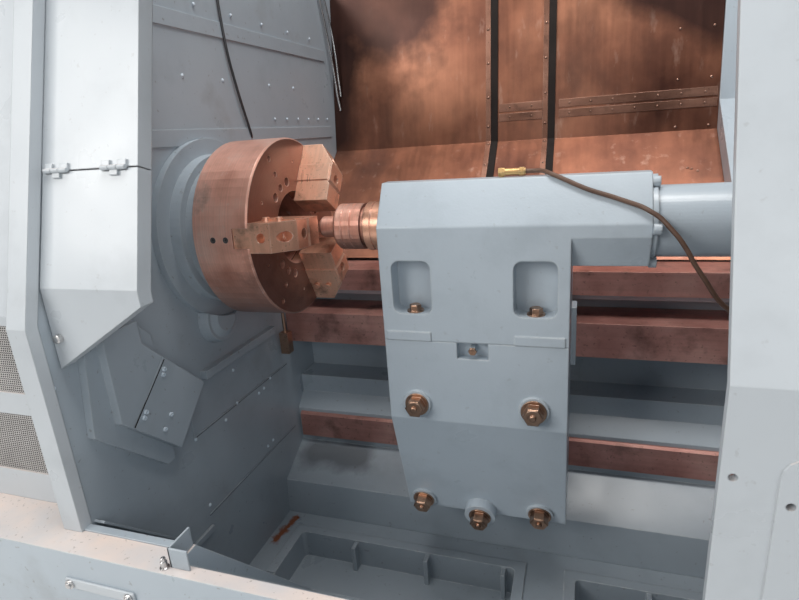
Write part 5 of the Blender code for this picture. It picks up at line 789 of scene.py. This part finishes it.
def chuck_side_screws(table):
    """Set screws let into the chuck's rim beside each jaw."""
    screws = Piece("chuck_side_screws", "spindle", "dark_steel", table["dark_steel"])
    low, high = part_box("chuck_body")
    radius = 0.5 * (high.z - low.z)
    profile = [(0.0, SET_SCREW_RADIUS), (0.0008, SET_SCREW_RADIUS), (0.0008, SOCKET_RADIUS),
               (0.0003, SOCKET_RADIUS - 0.0004), (0.0003, 0.0)]
    for x in SCREW_ROW_PLACES:
        for turn in range(JAW_COUNT):
            angle = math.radians(FIRST_JAW_ANGLE + 360.0 * turn / JAW_COUNT)
            out = Vector((0.0, math.cos(angle), math.sin(angle)))
            screws.spin(Vector((x, 0.0, 0.0)) + out * (radius - OVERLAP), out, profile, 20)
    screws.done()


RING_WALL = 0.005
RING_GROOVE = 0.003
RING_BACK_GAP = 0.005
RING_SLOT = (0.44, 0.52)


def boss_ring(material):
    """Steel lock ring round the boss that the quill comes out of."""
    ring = Piece("boss_lock_ring", "tailstock", "warm_bare_steel", material)
    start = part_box("tailstock_head")[0].x - DATUM.x + 0.0004
    length = TAIL_LEFT - RING_BACK_GAP - start
    bore = TAIL_BOSS_RADIUS + FIT_GAP
    outer = TAIL_BOSS_RADIUS + RING_WALL
    inner = outer - RING_GROOVE
    near, far = (share * length for share in RING_SLOT)
    profile = [(0.0, bore), (0.0, inner), (RING_GROOVE, outer), (near, outer), (near, inner),
               (far, inner), (far, outer), (length - RING_GROOVE, outer), (length, inner),
               (length, bore)]
    ring.sleeve((start, 0.0, 0.0), (1, 0, 0), profile, 64)
    ring.done()


UP_SLOPE = Vector((0.0, math.cos(SLOPE_ANGLE), math.sin(SLOPE_ANGLE)))
OFF_SLOPE = Vector((0.0, -math.sin(SLOPE_ANGLE), math.cos(SLOPE_ANGLE)))
TOP_LEAN = math.radians(7.5)
UP_TOP = Vector((0.0, math.sin(TOP_LEAN), math.cos(TOP_LEAN)))
OFF_TOP = Vector((0.0, -math.cos(TOP_LEAN), math.sin(TOP_LEAN)))
BEND_HALF = (math.pi / 2 - TOP_LEAN - SLOPE_ANGLE) / 2
COVER_LAP = 0.0043
COVER_BEND = Vector((0.0, *SLOPE_FOOT)) + UP_SLOPE * SLOPE_LENGTH


def cover_place(x, travel, off):
    """A place on the covers: travel up from the slope's foot and over the bend, off outward."""
    if travel < SLOPE_LENGTH:
        spot = Vector((0.0, *SLOPE_FOOT)) + UP_SLOPE * travel + OFF_SLOPE * off
    elif travel > SLOPE_LENGTH:
        spot = COVER_BEND + UP_TOP * (travel - SLOPE_LENGTH) + OFF_TOP * off
    else:
        spot = COVER_BEND + (OFF_SLOPE - UP_SLOPE * math.tan(BEND_HALF)) * off
    return Vector((x, spot.y, spot.z))


def bent_strip(piece, x_range, travel, off):
    """A strip across the bend, between two offs from the covers' plane."""
    stops = (travel[0], SLOPE_LENGTH, travel[1])
    outline = [cover_place(x_range[0], t, off[1]) for t in stops]
    outline += [cover_place(x_range[0], t, off[0]) for t in stops[::-1]]
    piece.slab(outline, (x_range[1] - x_range[0], 0.0, 0.0))


def flat_strip(piece, x_range, travel, off):
    outline = [cover_place(x_range[0], travel[0], off[0]), cover_place(x_range[0], travel[0], off[1]),
               cover_place(x_range[0], travel[1], off[1]), cover_place(x_range[0], travel[1], off[0])]
    piece.slab(outline, (x_range[1] - x_range[0], 0.0, 0.0))


COVER_RIVET_RADIUS = 0.0052
DOUBLER_RIVET_RADIUS = 0.0042


def cover_rivets(piece, places, off, radius=COVER_RIVET_RADIUS):
    for x, travel in places:
        out = OFF_SLOPE if travel < SLOPE_LENGTH else OFF_TOP
        piece.spin(cover_place(x, travel, off), out, rivet(radius), 14)


COVER_SPAN = (0.012, 1.262)
STRIP_SHEET = 0.0028
EDGE_STRIP_SHEET = 0.0042
EDGE_RIVET_TRAVELS = (0.20, 0.33, 0.46, 0.576, 0.653, 0.769, 0.903, 1.034, 1.16)
WIPER_AND_SHADE_SPAN = (-0.0135, 0.0140)
WIPER_AND_SHADE_LIP_SPAN = (0.0004, 0.0140)
EDGE_STRIP_SPAN = (-0.0345, -0.0145)
EDGE_RIVET_INSET = 0.0245
COVER_EDGES = (("left", "frame", 0.4412, 0.0), ("middle", "middle_cover", 0.6702, -COVER_LAP))
DOUBLERS = (("middle", "middle_cover", 0.4600, 0.6350, -COVER_LAP),
            ("right", "carriage", 0.6990, 1.2630, -2 * COVER_LAP))
DOUBLER_TRAVELS = ((0.671, 0.7015), (0.7095, 0.7410))
DOUBLER_RIVET_PITCH = 0.085
RIGHT_RIVET_COLUMNS = (1.127, 1.240)
RIGHT_RIVET_TRAVELS = (0.604, 0.776, 0.955, 1.13)
RIGHT_SINGLE_RIVETS = [(1.171, 0.400), (1.190, 0.390), (1.158, 0.406)]


def cover_details(table):
    """Black wiper lips that also stand in for the shadow in each cover step, riveted edge strips and
    doubling strips of the telescopic covers.
    """
    steel, rubber, bolt = table["cover_trim"], table["black_rubber"], table["cover_rivet"]
    for name, body, edge, off in COVER_EDGES:
        # Black wiper lips: partly a real wiper, partly painted shadow of the step between covers.
        wiper_and_shade = Piece(name + "_cover_wiper_and_shade", body, "black_rubber", rubber)
        for span, low, high in ((WIPER_AND_SHADE_SPAN, 0.0002, 0.0030), (WIPER_AND_SHADE_LIP_SPAN, -0.0038, 0.0006)):
            bent_strip(wiper_and_shade, [edge + x for x in span], COVER_SPAN, (off + low, off + high))
        wiper_and_shade.done()
        strip = Piece(name + "_cover_edge_strip", body, "cover_steel", steel)
        bent_strip(strip, [edge + x for x in EDGE_STRIP_SPAN], COVER_SPAN,
                   (off - OVERLAP, off + EDGE_STRIP_SHEET))
        strip.done(0.0006)
        rivets = Piece(name + "_cover_edge_rivets", body, "cover_steel", bolt)
        places = [(edge - EDGE_RIVET_INSET, t) for t in EDGE_RIVET_TRAVELS]
        cover_rivets(rivets, places, off + EDGE_STRIP_SHEET)
        rivets.done()
    for name, body, left, right, off in DOUBLERS:
        strips = Piece(name + "_cover_doublers", body, "cover_steel", steel)
        rivets = Piece(name + "_cover_doubler_rivets", body, "cover_steel", bolt)
        count = round((right - left) / DOUBLER_RIVET_PITCH)
        for low, high in DOUBLER_TRAVELS:
            flat_strip(strips, (left, right), (low, high), (off - OVERLAP, off + STRIP_SHEET))
            middle = (low + high) / 2
            places = [(left + (right - left) * (i + 0.5) / count, middle) for i in range(count)]
            cover_rivets(rivets, places, off + STRIP_SHEET, DOUBLER_RIVET_RADIUS)
        strips.done(0.0006)
        rivets.done()
    rivets = Piece("right_cover_rivets", "carriage", "cover_steel", bolt)
    places = [(x, t) for x in RIGHT_RIVET_COLUMNS for t in RIGHT_RIVET_TRAVELS]
    cover_rivets(rivets, places + RIGHT_SINGLE_RIVETS, -2 * COVER_LAP)
    rivets.done()


def wall_point(y, z, off=0.0):
    return Vector((WALL_X + off, y, z))


def wall_bar(piece, start, end, width, thickness):
    """A flat bar on the wall between two (y, z) places along its lower edge."""
    a, b = Vector(start), Vector(end)
    side = Vector((-(b - a).y, (b - a).x)).normalized() * width
    corners = [a, b, b + side, a + side]
    piece.slab([wall_point(c.x, c.y, -OVERLAP) for c in corners], (thickness + OVERLAP, 0.0, 0.0))


WALL_SEAMS = (((-0.255, -0.5835), (0.30, -0.5835), 0.0040),
              ((-0.257, -0.8560), (0.30, -0.8560), 0.0040),
              ((-0.2570, -0.5835), (-0.2530, -0.3800), 0.0036))
SEAM_SHEET = 0.0022
# Black strips along the seams: painted shade under the overlapping sheet edges.
SEAM_SHADE_LINES = (((-0.255, -0.5862), (0.30, -0.5862), 0.0027, 0.0009),
                 ((-0.257, -0.8587), (0.30, -0.8587), 0.0027, 0.0009),
                 ((0.30, 0.2916), (0.92, 0.2916), 0.0030, 0.0010),
                 ((-0.25, 0.6046), (0.92, 0.6046), 0.0030, 0.0010))
WALL_SCREWS = ((-0.028, -0.465), (-0.037, -0.581), (0.093, -0.609), (0.127, -0.606),
               (0.175, -0.588), (-0.106, -0.607), (0.134, -0.824), (0.097, -0.827),
               (-0.254, -0.590), (-0.6378, -0.236), (-0.249, -0.825), (0.16, 0.44), (0.44, 0.44),
               (-0.03, 0.44), (0.62, 0.44))
STRIP_SCREW_ROWS = ((0.325, 0.34), (0.638, -0.22))
STRIP_SCREW_COUNT = 6
STRIP_SCREW_INSET = 0.105
STRIP_SCREW_END = 0.88
STRIP_SCREW_RADIUS = 0.0056
STRIP_THICKNESS = 0.004
WALL_SCREW_RADIUS = 0.0060
WALL_BRACKET = ((-0.364, -0.9085), (-0.257, -0.9085), 0.018, 0.010)


def wall_details(table):
    """Seams with black strips painted as the shade under their overlapping edges, screws and a corner
    bracket on the chuck-side wall.
    """
    sheet = table["paint_inner"]
    seams = Piece("wall_sheet_seams", "frame", "machine_paint", sheet)
    for start, end, width in WALL_SEAMS:
        wall_bar(seams, start, end, width, SEAM_SHEET)
    seams.done(0.0005)
    # Painted shade along the seams.
    seam_shade = Piece("wall_seam_shade_strips", "frame", "black_rubber", table["black_rubber"])
    for start, end, width, thickness in SEAM_SHADE_LINES:
        wall_bar(seam_shade, start, end, width, thickness)
    seam_shade.done()
    screws = Piece("wall_screws", "frame", "machine_paint", table["painted_screw"])
    for y, z in WALL_SCREWS:
        screws.spin(wall_point(y, z), (1, 0, 0), rivet(WALL_SCREW_RADIUS), 14)
    for z, start in STRIP_SCREW_ROWS:
        for i in range(STRIP_SCREW_COUNT):
            y = start + STRIP_SCREW_INSET + i * (STRIP_SCREW_END - start) / STRIP_SCREW_COUNT
            screws.spin(wall_point(y, z, STRIP_THICKNESS), (1, 0, 0), rivet(STRIP_SCREW_RADIUS), 14)
    screws.done()
    bracket = Piece("wall_corner_bracket", "frame", "machine_paint", sheet)
    wall_bar(bracket, *WALL_BRACKET)
    bracket.done(0.0012)


SETTER_SCREWS = ((-0.3665, -0.307), (-0.3734, -0.320), (-0.454, -0.386), (-0.463, -0.398),
                 (-0.375, -0.435), (-0.406, -0.4626))
SETTER_SCREW_RADIUS = 0.0064
SETTER_SEAM = ((-0.3600, -0.2810), (-0.4980, -0.4060))
SETTER_SEAM_WIDTH = 0.0028
SETTER_SEAM_SHEET = 0.0009


def setter_details(table):
    """Socket screws and a black strip painted as the shade in the cover seam of the tool setter's
    guard.
    """
    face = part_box("setter_arm_plate")[1].x - DATUM.x
    # A black strip: painted shade in the seam's groove.
    seam = Piece("setter_cover_seam", "frame", "black_rubber", table["black_rubber"])
    start, end = (Vector((face - OVERLAP, y, z)) for y, z in SETTER_SEAM)
    along = end - start
    side = Vector((0.0, -along.z, along.y)).normalized() * SETTER_SEAM_WIDTH
    seam.slab([start, end, end + side, start + side], (SETTER_SEAM_SHEET, 0.0, 0.0))
    seam.done()
    screws = Piece("setter_screws", "frame", "machine_paint", table["painted_screw"])
    for y, z in SETTER_SCREWS:
        screws.spin((face, y, z), (1, 0, 0), socket_screw(SETTER_SCREW_RADIUS), 16)
    screws.done()


STRAP_SPAN = (-0.2800, -0.0900)
STRAP_RISE = (-0.6800, -0.6560)
STRAP_SHEET = 0.0060
STRAP_BOLT_PLACES = (-0.2670, -0.1030)
STRAP_HEAD = {"radius": 0.0085, "height": 0.0055, "washer": 0.0115}
FLANGE_REACH = (-0.6600, -0.6400)
FLANGE_SHEET = 0.0042
BRACKET_SPAN = (0.0040, 0.0520)
BRACKET_REACH = -0.7065
BRACKET_HEIGHT = 0.0480
BRACKET_SHEET = 0.0046
BRACKET_DEPTH = 0.0670
ROLLER_PLACE = (-0.0080, -0.7100)
ROLLER_PROFILE = [(0.0, 0.010), (0.003, 0.010), (0.004, 0.0072), (0.016, 0.0072), (0.018, 0.0052),
                  (0.024, 0.0052), (0.026, 0.0035), (0.026, 0.0)]


def front_details(table):
    """Bolted bar on the base's lip and the standing corner bracket with its roller."""
    front = -LIP_REACH
    left, right = STRAP_SPAN
    low, high = STRAP_RISE
    bar = Piece("lip_strap", "frame", "machine_paint", table["paint_front"])
    near = front + OVERLAP
    bar.slab([(left, near, low), (right, near, low), (right, near, high), (left, near, high)],
             (0.0, -STRAP_SHEET - OVERLAP, 0.0))
    bar.done(0.0016)
    bolts = Piece("lip_strap_bolts", "frame", "bright_steel", table["bright_steel"])
    for x in STRAP_BOLT_PLACES:
        hex_bolt(bolts, (x, front - STRAP_SHEET + OVERLAP, (low + high) / 2), (0, -1, 0),
                 **STRAP_HEAD)
    bolts.done(0.0004)
    flange = Piece("wall_foot_flange", "frame", "machine_paint", table["paint_inner"])
    left, right = BRACKET_SPAN
    wall = WALL_X + 0.0004
    near, far = FLANGE_REACH
    floor_z = -DECK_DROP
    flange.slab([(wall, near, floor_z), (left, near, floor_z), (left, far, floor_z),
                 (wall, far, floor_z)], (0.0, 0.0, FLANGE_SHEET))
    for end, push in ((right, (0.0, BRACKET_SHEET, 0.0)),
                      (left + BRACKET_SHEET, (0.0, BRACKET_DEPTH, 0.0))):
        flange.slab([(left, BRACKET_REACH, floor_z), (end, BRACKET_REACH, floor_z),
                     (end, BRACKET_REACH, floor_z + BRACKET_HEIGHT),
                     (left, BRACKET_REACH, floor_z + BRACKET_HEIGHT)], push)
    flange.done(0.0010)
    roller = Piece("corner_roller", "frame", "bright_steel", table["bright_steel"])
    roller.spin((*ROLLER_PLACE, floor_z), (0, 0, 1), ROLLER_PROFILE, 24)
    roller.done()


VENT_SPAN = (-0.9097, -0.3603)
VENT_REACH = -0.5874
VENT_SHEET = 0.0016
VENTS = (("upper", -0.114, 0.171), ("lower", -0.342, 0.163))


def vents(table):
    """Perforated sheets in the headstock panel's two vents."""
    left, right = VENT_SPAN
    for name, top, height in VENTS:
        sheet = Piece(name + "_vent_mesh", "frame", "dark_steel", table["mesh"])
        low, high = top - height + FIT_GAP, top - FIT_GAP
        sheet.slab([(left, VENT_REACH, low), (right, VENT_REACH, low), (right, VENT_REACH, high),
                    (left, VENT_REACH, high)], (0.0, -VENT_SHEET, 0.0))
        sheet.done()


WALL_PIPES = (
    ("wall_grease_pipe", 0.0042, "dark_steel",
     ((-0.276, 0.183, 0.845), (-0.276, 0.184, 0.76), (-0.276, 0.185, 0.668), (-0.275, 0.194, 0.529),
      (-0.274, 0.2245, 0.398), (-0.276, 0.265, 0.285), (-0.283, 0.278, 0.262))),
    ("wall_coolant_pipe_front", 0.0048, "bright_steel",
     ((-0.274, 0.905, 0.845), (-0.272, 0.922, 0.800), (-0.268, 0.955, 0.660),
      (-0.262, 0.975, 0.530), (-0.258, 0.982, 0.430), (-0.250, 0.985, 0.36))),
    ("wall_coolant_pipe_rear", 0.0042, "bright_steel",
     ((-0.274, 0.955, 0.845), (-0.270, 0.972, 0.790), (-0.264, 0.996, 0.690),
      (-0.256, 0.998, 0.590), (-0.250, 0.992, 0.50), (-0.244, 0.990, 0.42))))
PIPE_POINTS = 40


def pipes(table):
    """Fixed grease and coolant pipes on the chuck-side wall."""
    for name, radius, slot, points in WALL_PIPES:
        tube(name, smooth_route(points, PIPE_POINTS), radius, table[slot], "frame")


# Light
LAMPS = (("window_left", (-2.9, -4.2, 3.6), (-0.5, -0.6, 1.3), (3.0, 2.2), 150.0,
          (1.0, 0.965, 0.925)),
         ("overhead", (0.4, -1.0, 5.2), (0.2, -0.3, 1.2), (2.6, 1.6), 150.0, (1.0, 0.975, 0.945)),
         ("window_middle", (0.9, -4.6, 3.2), (0.3, -0.2, 1.3), (0.8, 1.5), 12.0, (1.0, 0.98, 0.95)),
         ("window_right", (3.2, -4.4, 2.6), (0.8, -0.7, 1.2), (2.6, 2.2), 36.0, (0.95, 0.98, 1.0)))
WORLD_COLOUR = (0.90, 0.92, 0.94, 1.0)
WORLD_STRENGTH = 0.24
FLOOR_HALF = 15.0


def lamp(name, place, aim, size, power, colour):
    data = bpy.data.lights.new(name, "AREA")
    data.shape = "RECTANGLE"
    data.size, data.size_y = size
    data.energy = power
    data.color = colour
    thing = bpy.data.objects.new(name, data)
    SCENE.collection.objects.link(thing)
    thing.location = place
    direction = Vector(aim) - Vector(place)
    thing.rotation_euler = direction.to_track_quat("-Z", "Y").to_euler()


def light():
    world = bpy.data.worlds.new("studio")
    SCENE.world = world
    world.use_nodes = True
    background = world.node_tree.nodes["Background"]
    background.inputs["Color"].default_value = WORLD_COLOUR
    background.inputs["Strength"].default_value = WORLD_STRENGTH
    for row in LAMPS:
        lamp(*row)


def floor():
    mesh = bpy.data.meshes.new("floor")
    mesh.from_pydata([(-FLOOR_HALF, -FLOOR_HALF, 0.0), (FLOOR_HALF, -FLOOR_HALF, 0.0),
                      (FLOOR_HALF, FLOOR_HALF, 0.0), (-FLOOR_HALF, FLOOR_HALF, 0.0)],
                     [], [(0, 1, 2, 3)])
    thing = bpy.data.objects.new("floor", mesh)
    SCENE.collection.objects.link(thing)
    finish = Finish("pale_floor", specular=0.3)
    finish.base((0.76, 0.76, 0.755), (0.80, 0.80, 0.795), scale=1.2)
    finish.shine(0.55, 0.7)
    mesh.materials.append(finish.done())


def main():
    SCENE.view_settings.view_transform = "Standard"
    camera()
    table = finishes()
    hose(table["brown_hose"])
    dress(table)
    tailstock_bolts(table["bronze_bolt"])
    boss_ring(table["jaw_steel"])
    chuck_side_screws(table)
    cover_details(table)
    wall_details(table)
    setter_details(table)
    front_details(table)
    vents(table)
    pipes(table)
    light()
    floor()


main()
